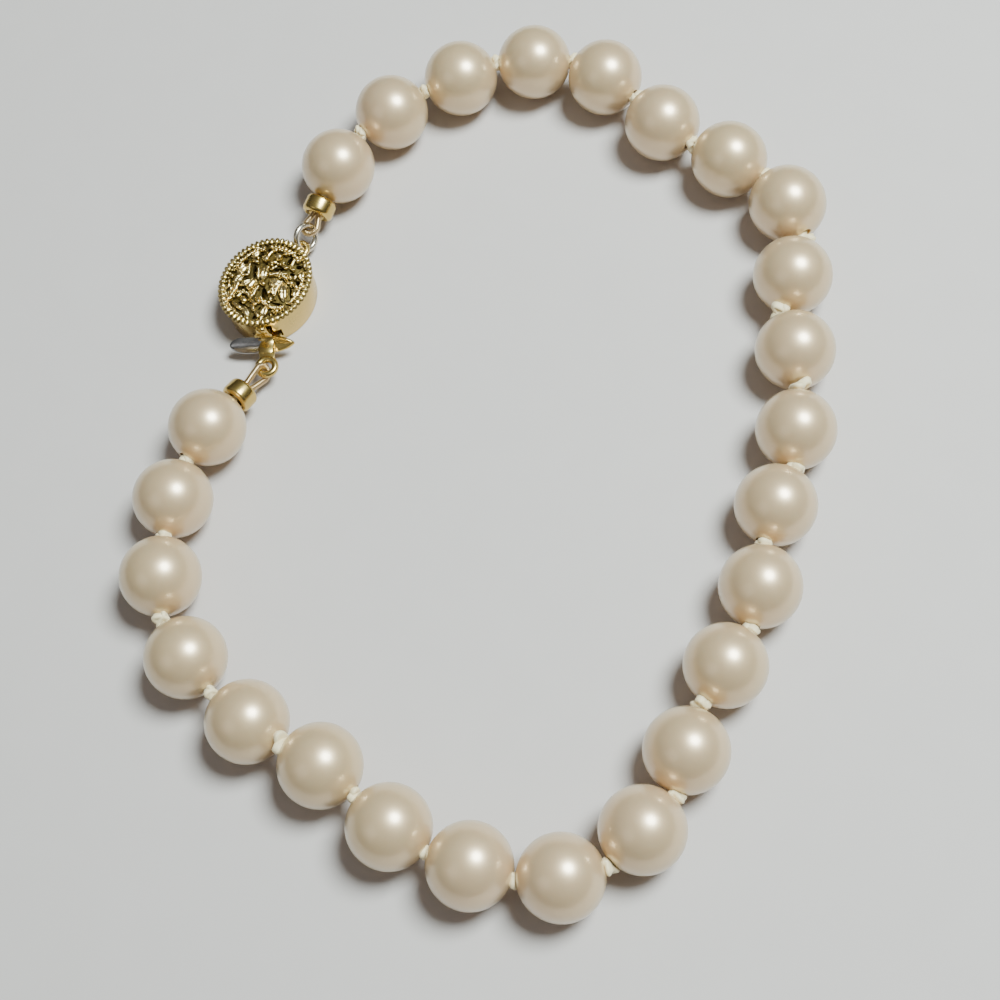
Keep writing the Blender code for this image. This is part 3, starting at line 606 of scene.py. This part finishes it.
# Slots through the band, for the strip and for the tab's neck: width, bottom and top.
slots = [(2.3, 0.58, 1.50), (1.14, 1.38, 2.48)]
slot_depth = 1.4 * mm
slot_reach = 3.54 * mm
back_to_clasp = Matrix.Rotation(math.pi / 2 - clasp_bearing, 4, "Z")
for width, low, high in slots:
    start()
    bpy.ops.mesh.primitive_cube_add(size=1)
    slot_tool = bpy.context.object
    size = Matrix.Diagonal((slot_depth, width * mm, (high - low) * mm, 1))
    turned = Matrix.Rotation(tongue_bearing, 4, "Z")
    turned = turned @ Matrix.Translation((slot_reach, 0, (low + high) / 2 * mm))
    stand(slot_tool, back_to_clasp @ turned @ size)
    cut_with(pan, slot_tool)
only(pan)
bpy.ops.object.shade_smooth_by_angle(angle=math.radians(35))
stand(pan, clasp_place)
seated(pan, "clasp_pan", gold, "gold", "clasp_box")


# Lid: a crowned oval plate, cast with its ornament and pierced through between the leaves.
# Its ground lies deep below the raised work and is painted dark brown as shade, with a little patchy
# patina.
# The stored value paints shade: low in the ground and between forms it gives dark brown, high on the tops
# bright gold and a smoother surface. Patina noise is mixed in.
relief_gold, tree, shader = new_finish("relief_gold")
wear_and_painted_shade = tree.nodes.new("ShaderNodeAttribute")
wear_and_painted_shade.attribute_name = "wear_and_painted_shade"
patina = noise_of(tree, Scale=1300.0, Detail=4.0, Roughness=0.65)
patina_and_shade = tree.nodes.new("ShaderNodeMath")
patina_and_shade.operation = "MULTIPLY_ADD"
patina_and_shade.inputs[1].default_value = 0.30
patina_and_shade_ramp = tree.nodes.new("ShaderNodeValToRGB")
patina_and_shade_ramp.color_ramp.elements[0].position = 0.10
patina_and_shade_ramp.color_ramp.elements[0].color = (0.08, 0.052, 0.015, 1)
patina_and_shade_ramp.color_ramp.elements[1].position = 0.95
patina_and_shade_ramp.color_ramp.elements[1].color = (0.99, 0.79, 0.37, 1)
mid_shade = patina_and_shade_ramp.color_ramp.elements.new(0.50)
mid_shade.color = (0.30, 0.225, 0.075, 1)
shine = node_of(tree, "ShaderNodeMapRange", From_Min=0.2, From_Max=1.0, To_Min=0.55, To_Max=0.18)
tree.links.new(patina.outputs["Fac"], patina_and_shade.inputs[0])
tree.links.new(wear_and_painted_shade.outputs["Fac"], patina_and_shade.inputs[2])
tree.links.new(patina_and_shade.outputs["Value"], patina_and_shade_ramp.inputs["Fac"])
tree.links.new(patina_and_shade_ramp.outputs["Color"], shader.inputs["Base Color"])
tree.links.new(patina_and_shade.outputs["Value"], shine.inputs["Value"])
tree.links.new(shine.outputs["Result"], shader.inputs["Roughness"])
bumpy(tree, shader, noise_of(tree, Scale=3400.0, Detail=4.0, Roughness=0.6), 0.85, 0.00007)
set_values(shader, Metallic=1.0)


def crown(across, along):
    """Height of the raised work's ground line, for a place in millimetres on the lid."""
    reach = math.hypot(across * mm / half_width, along * mm / half_length)
    return clasp_height - 0.04 * mm + lid_rise * (1 - reach**2)


def store_painted_shade(obj, shade_at):
    """Keeps each point's painted shade, from 0, shaded dark, to 1, lit bright, for the finish."""
    layer = obj.data.attributes.new("wear_and_painted_shade", "FLOAT", "POINT")
    for i, corner in enumerate(obj.data.vertices):
        layer.data[i].value = min(max(shade_at(corner.co), 0.0), 1.0)


lid_centre = Vector((-17.25, 13.5, 0)) * mm
lid_bearing = math.radians(60 - 90)
lid_place = Matrix.Translation(lid_centre) @ Matrix.Rotation(lid_bearing, 4, "Z")
lid_edge = 0.42 * mm
lid_thickness = 0.3 * mm
ground_depth = 0.22 * mm
start()
bpy.ops.mesh.primitive_circle_add(vertices=96, radius=1, fill_type="NGON")
lid = bpy.context.object
stand(lid, Matrix.Diagonal((half_width - lid_edge, half_length - lid_edge, 1, 1)))
pick_faces(lid, lambda face: True)
for step in range(5):
    bpy.ops.mesh.inset(thickness=0.17 * (half_width - lid_edge))
bpy.ops.mesh.poke()
bpy.ops.object.mode_set(mode="OBJECT")
for corner in lid.data.vertices:
    corner.co.z = crown(corner.co.x / mm, corner.co.y / mm) - ground_depth
plate = lid.modifiers.new("plate", "SOLIDIFY")
plate.thickness = lid_thickness
plate.offset = -1
bpy.ops.object.modifier_apply(modifier=plate.name)

# Piercings: across, along, length and width in millimetres, and the turn in degrees.
piercings = [
    (0.72, 2.5, 0.85, 0.34, 95), (1.65, 2.38, 0.5, 0.38, 30), (1.6, 1.55, 0.55, 0.26, 10),
    (2.4, 1.13, 0.5, 0.42, 10), (0.45, 1.4, 0.75, 0.4, 45), (-0.68, 1.35, 0.34, 0.32, 0),
    (-1.27, 0.42, 1.2, 0.34, -60), (0.5, -0.92, 1.0, 0.46, -55), (2.42, 0.0, 1.0, 0.26, -55),
    (1.95, -1.22, 1.1, 0.24, 18), (-1.62, 1.95, 0.45, 0.3, 75), (-1.35, 2.65, 0.32, 0.26, 0),
    (-2.45, 0.85, 0.6, 0.32, 70), (-1.3, -1.35, 0.42, 0.36, 40), (-1.5, -0.45, 0.4, 0.26, 40),
    (0.85, -2.2, 0.4, 0.2, 85), (-0.45, -2.5, 1.2, 0.18, -5), (0.85, -3.05, 0.5, 0.22, 85),
    (-2.3, 1.75, 0.4, 0.3, 60), (1.85, -2.2, 0.35, 0.25, 80), (-2.75, -1.5, 0.4, 0.2, 10),
]
for across, along, length, width, turn in piercings:
    start()
    bpy.ops.mesh.primitive_cylinder_add(vertices=20, radius=0.5, depth=2 * mm)
    punch = bpy.context.object
    matrix = Matrix.Translation((across * mm, along * mm, clasp_height))
    matrix = matrix @ Matrix.Rotation(math.radians(turn), 4, "Z")
    stand(punch, matrix @ Matrix.Diagonal((length * mm, width * mm, 1, 1)))
    cut_with(lid, punch)
only(lid)
bpy.ops.object.shade_smooth_by_angle(angle=math.radians(30))
# The whole ground gets a low value: painted shade, dark brown.
store_painted_shade(lid, lambda co: 0.1)
stand(lid, lid_place)
seated(lid, "clasp_lid", relief_gold, "gold", "clasp_box")


# Ornament of the lid: petals, ribs and grains raised by casting, painted bright on their tops and dark
# towards the ground as shade.
# A petal has a crease along its middle, a rib is a smooth bar, and a grain is a short rib.
def swell(crease):
    """Half-round swelling of length, width and height 1: a creased leaf, or else a bar."""
    start()
    bpy.ops.mesh.primitive_uv_sphere_add(segments=24, ring_count=14, radius=0.5)
    shape = bpy.context.object
    bpy.ops.object.shade_smooth()
    for corner in shape.data.vertices:
        if crease:
            corner.co.y *= 1.08 - 0.45 * (2 * corner.co.x) ** 2
            if corner.co.z > 0:
                corner.co.z -= crease * math.exp(-((corner.co.y / 0.10) ** 2))
        else:
            corner.co.x = math.copysign(math.sqrt(abs(corner.co.x) / 2), corner.co.x)
    return shape


ornament = []
taken = []
root_depth = 0.08 * mm  # how far a raised form starts below the ground line


def take_room(across, along, length, width, turn, shares):
    """Marks the room that a long form fills on the lid, as round spots along it."""
    way = Vector((math.cos(math.radians(turn)), math.sin(math.radians(turn))))
    for share in shares:
        taken.append((Vector((across, along)) + way * length * share, width / 2))


def raise_shape(shape, across, along, length, width, turn, height):
    """Copy of a swelling, on the lid at a place in millimetres."""
    raised = copy_of(shape)
    matrix = Matrix.Translation((across * mm, along * mm, crown(across, along) - root_depth))
    matrix = matrix @ Matrix.Rotation(math.radians(turn), 4, "Z")
    stand(raised, matrix @ Matrix.Diagonal((length * mm, width * mm, 2 * height * mm, 1)))
    ornament.append(raised)
    take_room(across, along, length, width, turn, (-0.4, -0.2, 0, 0.2, 0.4))


# Petals: across, along, length, width, turn and height.
petals = [
    (1.82, -0.12, 1.65, 0.62, -56, 0.40), (2.78, 0.2, 1.0, 0.52, -62, 0.30),
    (-0.36, 0.55, 1.15, 0.56, -70, 0.36), (-2.3, 0.15, 1.0, 0.55, 78, 0.26),
    (-2.05, -0.75, 1.0, 0.56, 84, 0.30), (0.8, 0.22, 1.0, 0.6, 18, 0.24),
    (2.3, 1.78, 0.85, 0.46, -50, 0.30), (1.08, -0.35, 1.1, 0.42, -52, 0.24),
    (-1.3, -0.8, 0.9, 0.4, 58, 0.22), (-2.0, 1.75, 0.8, 0.36, 70, 0.24),
    (1.42, -2.3, 0.95, 0.5, -82, 0.32), (0.0, -2.9, 1.0, 0.4, -28, 0.22),
]
# Ribs: across, along, length, width, turn and height.
ribs = [
    (-0.85, 0.42, 1.25, 0.26, -60, 0.26), (-1.78, 0.42, 1.25, 0.3, -62, 0.26),
    (0.0, -0.3, 0.6, 0.3, -12, 0.32), (0.5, 0.86, 0.6, 0.3, 30, 0.30),
    (1.62, 1.15, 0.5, 0.26, -18, 0.30), (0.85, 1.76, 0.52, 0.26, -8, 0.32),
    (1.42, 1.88, 0.5, 0.24, -8, 0.28), (2.46, 0.68, 0.55, 0.28, -20, 0.30),
    (-0.85, 2.8, 0.55, 0.3, -18, 0.34), (-0.97, 2.3, 0.85, 0.26, 84, 0.26),
    (-1.62, 1.2, 0.66, 0.28, 0, 0.32), (-1.76, 2.42, 0.5, 0.34, -28, 0.34),
    (1.3, -1.14, 0.55, 0.24, -30, 0.32), (0.45, -1.7, 0.7, 0.3, -35, 0.36),
    (0.18, -2.02, 0.9, 0.22, -12, 0.30), (0.42, -2.42, 0.7, 0.28, -35, 0.34),
    (-0.58, -2.18, 0.62, 0.44, -28, 0.38), (-1.15, -2.0, 0.5, 0.26, 80, 0.26),
    (-0.82, -2.82, 1.1, 0.3, -12, 0.34), (-0.88, -3.26, 0.55, 0.3, -25, 0.30),
    (-0.14, -3.48, 0.6, 0.26, -14, 0.28), (1.52, -2.95, 0.6, 0.28, -72, 0.26),
    (-1.45, -3.35, 0.5, 0.30, -20, 0.26), (0.98, -2.72, 0.75, 0.26, -36, 0.24),
    (1.12, 2.42, 0.9, 0.26, -78, 0.26), (1.98, 2.72, 0.6, 0.26, -48, 0.26),
    (2.02, 1.35, 0.5, 0.24, -60, 0.28), (-2.72, -0.72, 0.42, 0.32, 0, 0.30),
    (-2.7, 0.95, 0.7, 0.26, 76, 0.24), (-2.5, -1.7, 0.6, 0.26, 62, 0.24),
    (0.35, -3.3, 0.6, 0.24, -30, 0.24), (2.2, -1.75, 0.6, 0.24, -30, 0.24),
    (0.05, 1.3, 0.6, 0.22, 62, 0.24), (-0.3, 1.75, 0.6, 0.24, 20, 0.22),
    (-2.3, 2.3, 0.5, 0.26, 45, 0.24), (0.45, 3.1, 0.5, 0.24, 75, 0.26),
    (-1.2, 1.85, 0.5, 0.2, 10, 0.22), (2.75, -0.75, 0.5, 0.28, 10, 0.28),
    (1.9, 0.75, 0.6, 0.26, 12, 0.26), (-0.35, -1.55, 0.7, 0.3, -35, 0.26),
    (-1.75, -0.2, 0.6, 0.24, 20, 0.22),
]
# Grains: across, along and width.
grains = [
    (-0.15, 2.3, 0.62), (0.17, 2.86, 0.44), (-0.96, 1.72, 0.56), (-0.36, 1.08, 0.38),
    (-0.2, -1.15, 0.42), (0.72, 3.22, 0.40), (1.4, 2.98, 0.44), (2.95, 0.95, 0.36),
    (-2.85, -0.15, 0.34), (0.75, -0.15, 0.3),
]
petal_shape, rib_shape = swell(0.16), swell(0.0)
# The cast forms are longer, wider and lower than the lines that the tables give.
petal_longer, petal_wider = 1.12, 1.3
rib_longer, rib_wider = 1.05, 1.22
lower = 0.85
for across, along, length, width, turn, height in petals:
    long, wide = length * petal_longer, width * petal_wider
    raise_shape(petal_shape, across, along, long, wide, turn, height * lower)
for across, along, length, width, turn, height in ribs:
    long, wide = length * rib_longer, width * rib_wider
    raise_shape(rib_shape, across, along, long, wide, turn, height * lower)
for across, along, width in grains:
    raise_shape(rib_shape, across, along, width, width, 0, width * 0.55 + 0.08)
raise_shape(rib_shape, -0.7, -0.78, 1.1, 0.66, 80, 0.42)
# Small grains and short ribs fill what is left of the ground between the larger forms.
for across, along, length, width, turn in piercings:
    take_room(across, along, length, width, turn, (-0.35, 0, 0.35))
for row in range(-15, 16):
    for column in range(-13, 14):
        spot = Vector((column * 0.27 + 0.13 * (row % 2), row * 0.25))
        spot += Vector((chance.uniform(-0.04, 0.04), chance.uniform(-0.04, 0.04)))
        if math.hypot(spot.x / 2.85, spot.y / 3.3) > 1:
            continue
        room = min((spot - point).length - reach for point, reach in taken)
        if room > 0.07:
            size = min(room * 2.4, 0.34)
            turn = chance.uniform(-80, -20)
            raise_shape(rib_shape, spot.x, spot.y, size * 1.5, size * 0.85, turn, 0.16 + size * 0.4)
bpy.data.objects.remove(petal_shape)
bpy.data.objects.remove(rib_shape)


def bow(start_point, end_point, rise, steps=10):
    """Level arc between two points in millimetres, bulging to its left by rise."""
    a, b = Vector(start_point), Vector(end_point)
    left = Vector((-(b - a).y, (b - a).x)).normalized()
    points = []
    for i in range(steps + 1):
        share = i / steps
        point = a.lerp(b, share) + left * rise * 4 * share * (1 - share)
        points.append((point.x * mm, point.y * mm))
    return points


def oval_arc(share, first, last, steps=24):
    """Level arc parallel to the rim, its bearings in degrees from across."""
    turns = [math.radians(first + (last - first) * i / steps) for i in range(steps + 1)]
    return [
        ((half_width - band_inset) * share * math.cos(t), (half_length - band_inset) * share * math.sin(t))
        for t in turns
    ]


# Wires on the lid: their lines, radius and rib pitch. A pitch of 0.1 leaves a wire nearly smooth.
lid_wires = [
    (oval_arc(0.83, 56, 118), 0.21, 0.30),
    (oval_arc(0.83, 124, 172), 0.19, 0.30),
    (oval_arc(0.90, 212, 268), 0.10, 0.10),
    (oval_arc(0.86, -14, 34), 0.15, 0.28),
    (bow((0.55, -1.45), (2.62, -1.3), -0.42), 0.16, 0.10),
    (bow((0.12, 0.55), (1.6, 0.8), 0.36), 0.16, 0.10),
    (bow((-0.95, -0.35), (-0.1, -1.5), 0.35), 0.14, 0.10),
    (bow((1.35, 0.55), (1.5, -0.85), -0.12), 0.13, 0.10),
    (bow((-1.3, -1.75), (-0.1, -1.85), 0.2), 0.13, 0.10),
    (bow((-2.5, 0.6), (-1.75, -0.35), -0.3), 0.12, 0.10),
    (bow((-1.80, -1.15), (-1.92, -3.15), 0.12), 0.30, 0.33),
]
wire_lift = 0.04 * mm
for points, radius, pitch in lid_wires:
    core = 0.6 if pitch > 0.2 else 0.8
    wire = ribbed(points, radius * mm, pitch * mm, False, core=core, blunt=0.6)
    for corner in wire.data.vertices:
        corner.co.z += crown(corner.co.x / mm, corner.co.y / mm) + wire_lift
    ornament.append(wire)

start()
for piece in ornament:
    piece.select_set(True)
bpy.context.view_layer.objects.active = ornament[0]
bpy.ops.object.join()
relief_work = bpy.context.object


def relief_painted_shade(co):
    """Painted shade by height: 0, darkest, in the ground and 1, brightest, on the tops, 0.30 mm above it.
    """
    return (co.z - crown(co.x / mm, co.y / mm) + 0.16 * mm) / (0.30 * mm)


# The ornament is painted darker the lower it lies: painted shade.
store_painted_shade(relief_work, relief_painted_shade)
stand(relief_work, lid_place)
seated(relief_work, "clasp_ornament", relief_gold, "gold", "clasp_box")


# Rim: a wide gadrooned border, cast as a row of ribs that lie square to the edge.
rim_radius = 0.32 * mm
rim_height = 0.26 * mm
rim_pitch = 0.4 * mm
rim_turns = [2 * math.pi * i / 180 for i in range(180)]
rim_across = half_width - rim_radius
rim_along = half_length - rim_radius
rim_points = [(rim_across * math.cos(turn), rim_along * math.sin(turn)) for turn in rim_turns]
rim_flat = rim_height / rim_radius
rim = ribbed(rim_points, rim_radius, rim_pitch, True, flat=rim_flat, core=0.52, blunt=0.5)
# The rim's ribs are painted dark at their feet and bright on their tops: painted shade.
store_painted_shade(rim, lambda co: 0.12 + (co.z / rim_height) ** 2)
stand(rim, clasp_place @ Matrix.Translation((0, 0, clasp_height)))
seated(rim, "clasp_rim", relief_gold, "gold", "clasp_box")


# Eye: a short U of gold wire soldered to the end of the band, for the jump ring.
eye_wire = 0.225 * mm
eye_half = 0.575 * mm
eye_height = 1.6 * mm
eye_reach = 1.4 * mm
eye_foot = half_length - 0.45 * mm
eye_bend = half_length - band_inset + eye_reach - eye_wire - eye_half
eye_curve = bpy.data.curves.new("eye", "CURVE")
eye_curve.dimensions = "3D"
eye_curve.bevel_depth = eye_wire
eye_curve.bevel_resolution = 4
eye_curve.use_fill_caps = True
eye_points = [(-eye_half, eye_foot)]
for degrees in range(180, -1, -12):
    turn = math.radians(degrees)
    eye_points.append((eye_half * math.cos(turn), eye_bend + eye_half * math.sin(turn)))
eye_points.append((eye_half, eye_foot))
spline = eye_curve.splines.new("POLY")
spline.points.add(len(eye_points) - 1)
for point, (x, y) in zip(spline.points, eye_points):
    point.co = (x, y, eye_height, 1)
eye = bpy.data.objects.new("eye", eye_curve)
bpy.context.scene.collection.objects.link(eye)
only(eye)
bpy.ops.object.convert(target="MESH")
bpy.ops.object.shade_smooth_by_angle(angle=math.radians(50))
stand(eye, clasp_place)
seated(eye, "clasp_eye", gold, "gold", "clasp_box")


# Spring tongue: one strip of gold sheet folded on itself, with a thumb tab that bends up in
# front of the rim. It runs out of the slot to the ring that the string is fastened to.
tongue_place = Matrix.Translation(clasp_centre) @ Matrix.Rotation(tongue_bearing, 4, "Z")


def as_sheet(obj, thickness, rounding, segments=3):
    """Gives a bent surface the thickness of sheet metal, with rounded edges."""
    sheet = obj.modifiers.new("sheet", "SOLIDIFY")
    sheet.thickness = thickness
    sheet.offset = 0
    bpy.ops.object.modifier_apply(modifier=sheet.name)
    edges = obj.modifiers.new("edges", "BEVEL")
    edges.width = rounding
    edges.segments = segments
    edges.limit_method = "ANGLE"
    edges.angle_limit = math.radians(60)
    bpy.ops.object.modifier_apply(modifier=edges.name)
    bpy.ops.object.shade_smooth_by_angle(angle=math.radians(50))


stations = [  # reach, height, half-width and shift in millimetres
    (4.27, 3.40, 0.30, 0.0), (4.32, 3.30, 0.40, 0.0), (4.34, 3.00, 0.42, 0.0),
    (4.40, 2.62, 0.50, 0.0), (4.47, 2.52, 0.66, 0.0), (4.46, 2.36, 0.675, 0.0),
    (4.32, 2.23, 0.66, 0.0), (3.92, 2.16, 0.42, 0.0), (3.24, 2.11, 0.42, 0.0),
    (3.20, 2.10, 1.0, 0.0), (-0.98, 1.22, 1.0, 0.0), (-1.38, 1.12, 1.0, 0.0),
    (-1.58, 0.995, 1.0, 0.0), (-1.38, 0.77, 1.0, 0.0), (3.82, 0.77, 1.0, 0.0),
    (4.37, 0.87, 0.675, 0.0), (4.80, 1.30, 0.675, 0.05), (5.17, 1.56, 0.675, 0.125),
    (5.60, 1.60, 0.62, 0.2), (6.12, 1.60, 0.56, 0.25),
]
start()
bpy.ops.mesh.primitive_plane_add(size=1)
strip = bpy.context.object
for corner in strip.data.vertices:
    reach, height, half, shift = stations[1] if corner.co.x > 0 else stations[0]
    corner.co = Vector((reach, math.copysign(half, corner.co.y) + shift, height)) * mm
same_place = 1e-7
for (r0, h0, w0, s0), (r1, h1, w1, s1) in zip(stations[1:], stations[2:]):
    tip = Vector((r0, s0, h0)) * mm
    ends = {
        v.index
        for v in strip.data.vertices
        if abs(v.co.x - tip.x) < same_place and abs(v.co.z - tip.z) < same_place
    }
    bpy.ops.object.mode_set(mode="EDIT")
    bpy.ops.mesh.select_mode(type="EDGE")
    bpy.ops.mesh.select_all(action="DESELECT")
    bpy.ops.object.mode_set(mode="OBJECT")
    for edge in strip.data.edges:
        edge.select = set(edge.vertices) <= ends
    bpy.ops.object.mode_set(mode="EDIT")
    bpy.ops.mesh.extrude_region_move(
        TRANSFORM_OT_translate={"value": ((r1 - r0) * mm, (s1 - s0) * mm, (h1 - h0) * mm)}
    )
    bpy.ops.transform.resize(value=(1, w1 / w0, 1), center_override=(r1 * mm, s1 * mm, h1 * mm))
    bpy.ops.object.mode_set(mode="OBJECT")
as_sheet(strip, 0.22 * mm, 0.06 * mm)
stand(strip, tongue_place)
seated(strip, "tongue_strip", gold, "gold", "clasp_tongue")


# End plate of the tongue: a leaf of sheet with two points, soldered across the strip. Its right
# wing has raised edges. Its left wing is domed, has lost its gold and shows grey metal.
plate_half = 2.55 * mm
plate_breadth = 0.65 * mm
plate_turn = math.radians(1)
plate_slope = math.radians(35)
plate_place = (
    tongue_place
    @ Matrix.Translation((4.667 * mm, -0.3 * mm, 1.42 * mm))
    @ Matrix.Rotation(plate_turn, 4, "Z")
    @ Matrix.Rotation(plate_slope, 4, "Y")
)

bare_metal, tree, shader = new_finish("bare_metal")
rubbing = noise_of(tree, Scale=1500.0, Detail=4.0)
two_tone(tree, shader, rubbing, (0.56, 0.56, 0.57), (0.30, 0.29, 0.28))
bumpy(tree, shader, rubbing, 0.3, 0.00003)
set_values(shader, Metallic=1.0, Roughness=0.24)


def wing(name, side, fullness, taper, material, slot):
    """One wing of the plate, from the strip's middle out to its point."""
    start()
    bpy.ops.mesh.primitive_grid_add(x_subdivisions=14, y_subdivisions=20, size=1)
    leaf = bpy.context.object
    for corner in leaf.data.vertices:
        across = 2 * corner.co.x
        share = corner.co.y + 0.5
        breadth = max(1 - share**fullness, 0.015) ** taper
        border = 0.13 * mm * abs(across) ** 3 - 0.05 * mm * math.exp(-((across / 0.18) ** 2))
        if side < 0:
            border = 0.22 * mm * (1 - across**2) * (1 - 0.5 * share**2) - 0.05 * mm
        height = border * min(1, breadth * 2)
        corner.co = Vector((across * breadth * plate_breadth, side * share * plate_half, height))
    if side < 0:
        pick_faces(leaf, lambda face: True)
        bpy.ops.mesh.flip_normals()
        bpy.ops.object.mode_set(mode="OBJECT")
    as_sheet(leaf, 0.16 * mm, 0.03 * mm, segments=2)
    stand(leaf, plate_place)
    return seated(leaf, name, material, slot, "clasp_tongue")


wing("plate_gold_wing", 1, 3.0, 0.85, gold, "gold")
wing("plate_grey_wing", -1, 4.0, 0.5, bare_metal, "pale_metal")


# Strap over the end plate: a short curved piece of the same sheet that holds the plate's
# middle down on the strip, and a half-round thumb button on the tab.
strap_line = [  # reach and height in millimetres
    (4.22, 1.98), (4.32, 1.86), (4.50, 1.74), (4.75, 1.69), (5.05, 1.72), (5.35, 1.74), (5.62, 1.68),
]
start()
bpy.ops.mesh.primitive_grid_add(x_subdivisions=len(strap_line) - 1, y_subdivisions=8, size=1)
strap = bpy.context.object
for corner in strap.data.vertices:
    reach, height = strap_line[round((corner.co.x + 0.5) * (len(strap_line) - 1))]
    across = 2 * corner.co.y
    half = 0.56 if reach > 4.4 else 0.5
    droop = 0.10 * across**2
    corner.co = Vector((reach, across * half + 0.1, height - droop)) * mm
as_sheet(strap, 0.14 * mm, 0.05 * mm)
stand(strap, tongue_place)
seated(strap, "tongue_strap", gold, "gold", "clasp_tongue")
start()
bpy.ops.mesh.primitive_uv_sphere_add(segments=32, ring_count=20, radius=0.5)
button = bpy.context.object
bpy.ops.object.mode_set(mode="EDIT")
bpy.ops.mesh.select_all(action="SELECT")
bpy.ops.mesh.bisect(
    plane_co=(-0.2, 0, 0), plane_no=(-1, 0, 0), clear_outer=True, use_fill=True, threshold=1e-6
)
bpy.ops.object.mode_set(mode="OBJECT")
bpy.ops.object.shade_smooth_by_angle(angle=math.radians(50))
button_place = tongue_place @ Matrix.Translation((4.36 * mm, 0, 3.06 * mm))
stand(button, button_place @ Matrix.Diagonal((0.5 * mm, 0.86 * mm, 0.76 * mm, 1)))
seated(button, "thumb_button", gold, "gold", "clasp_tongue")


# Ring of the tongue: a round ring of gold wire soldered flat to the strip's end.
start()
bpy.ops.mesh.primitive_torus_add(
    major_segments=64, minor_segments=18, major_radius=0.675 * mm, minor_radius=tongue_ring_wire / 2
)
tongue_ring = bpy.context.object
bpy.ops.object.shade_smooth()
stand(tongue_ring, tongue_place @ Matrix.Translation((6.767 * mm, 0.25 * mm, 1.6 * mm)))
seated(tongue_ring, "tongue_ring", gold, "gold", "clasp_tongue")


start()
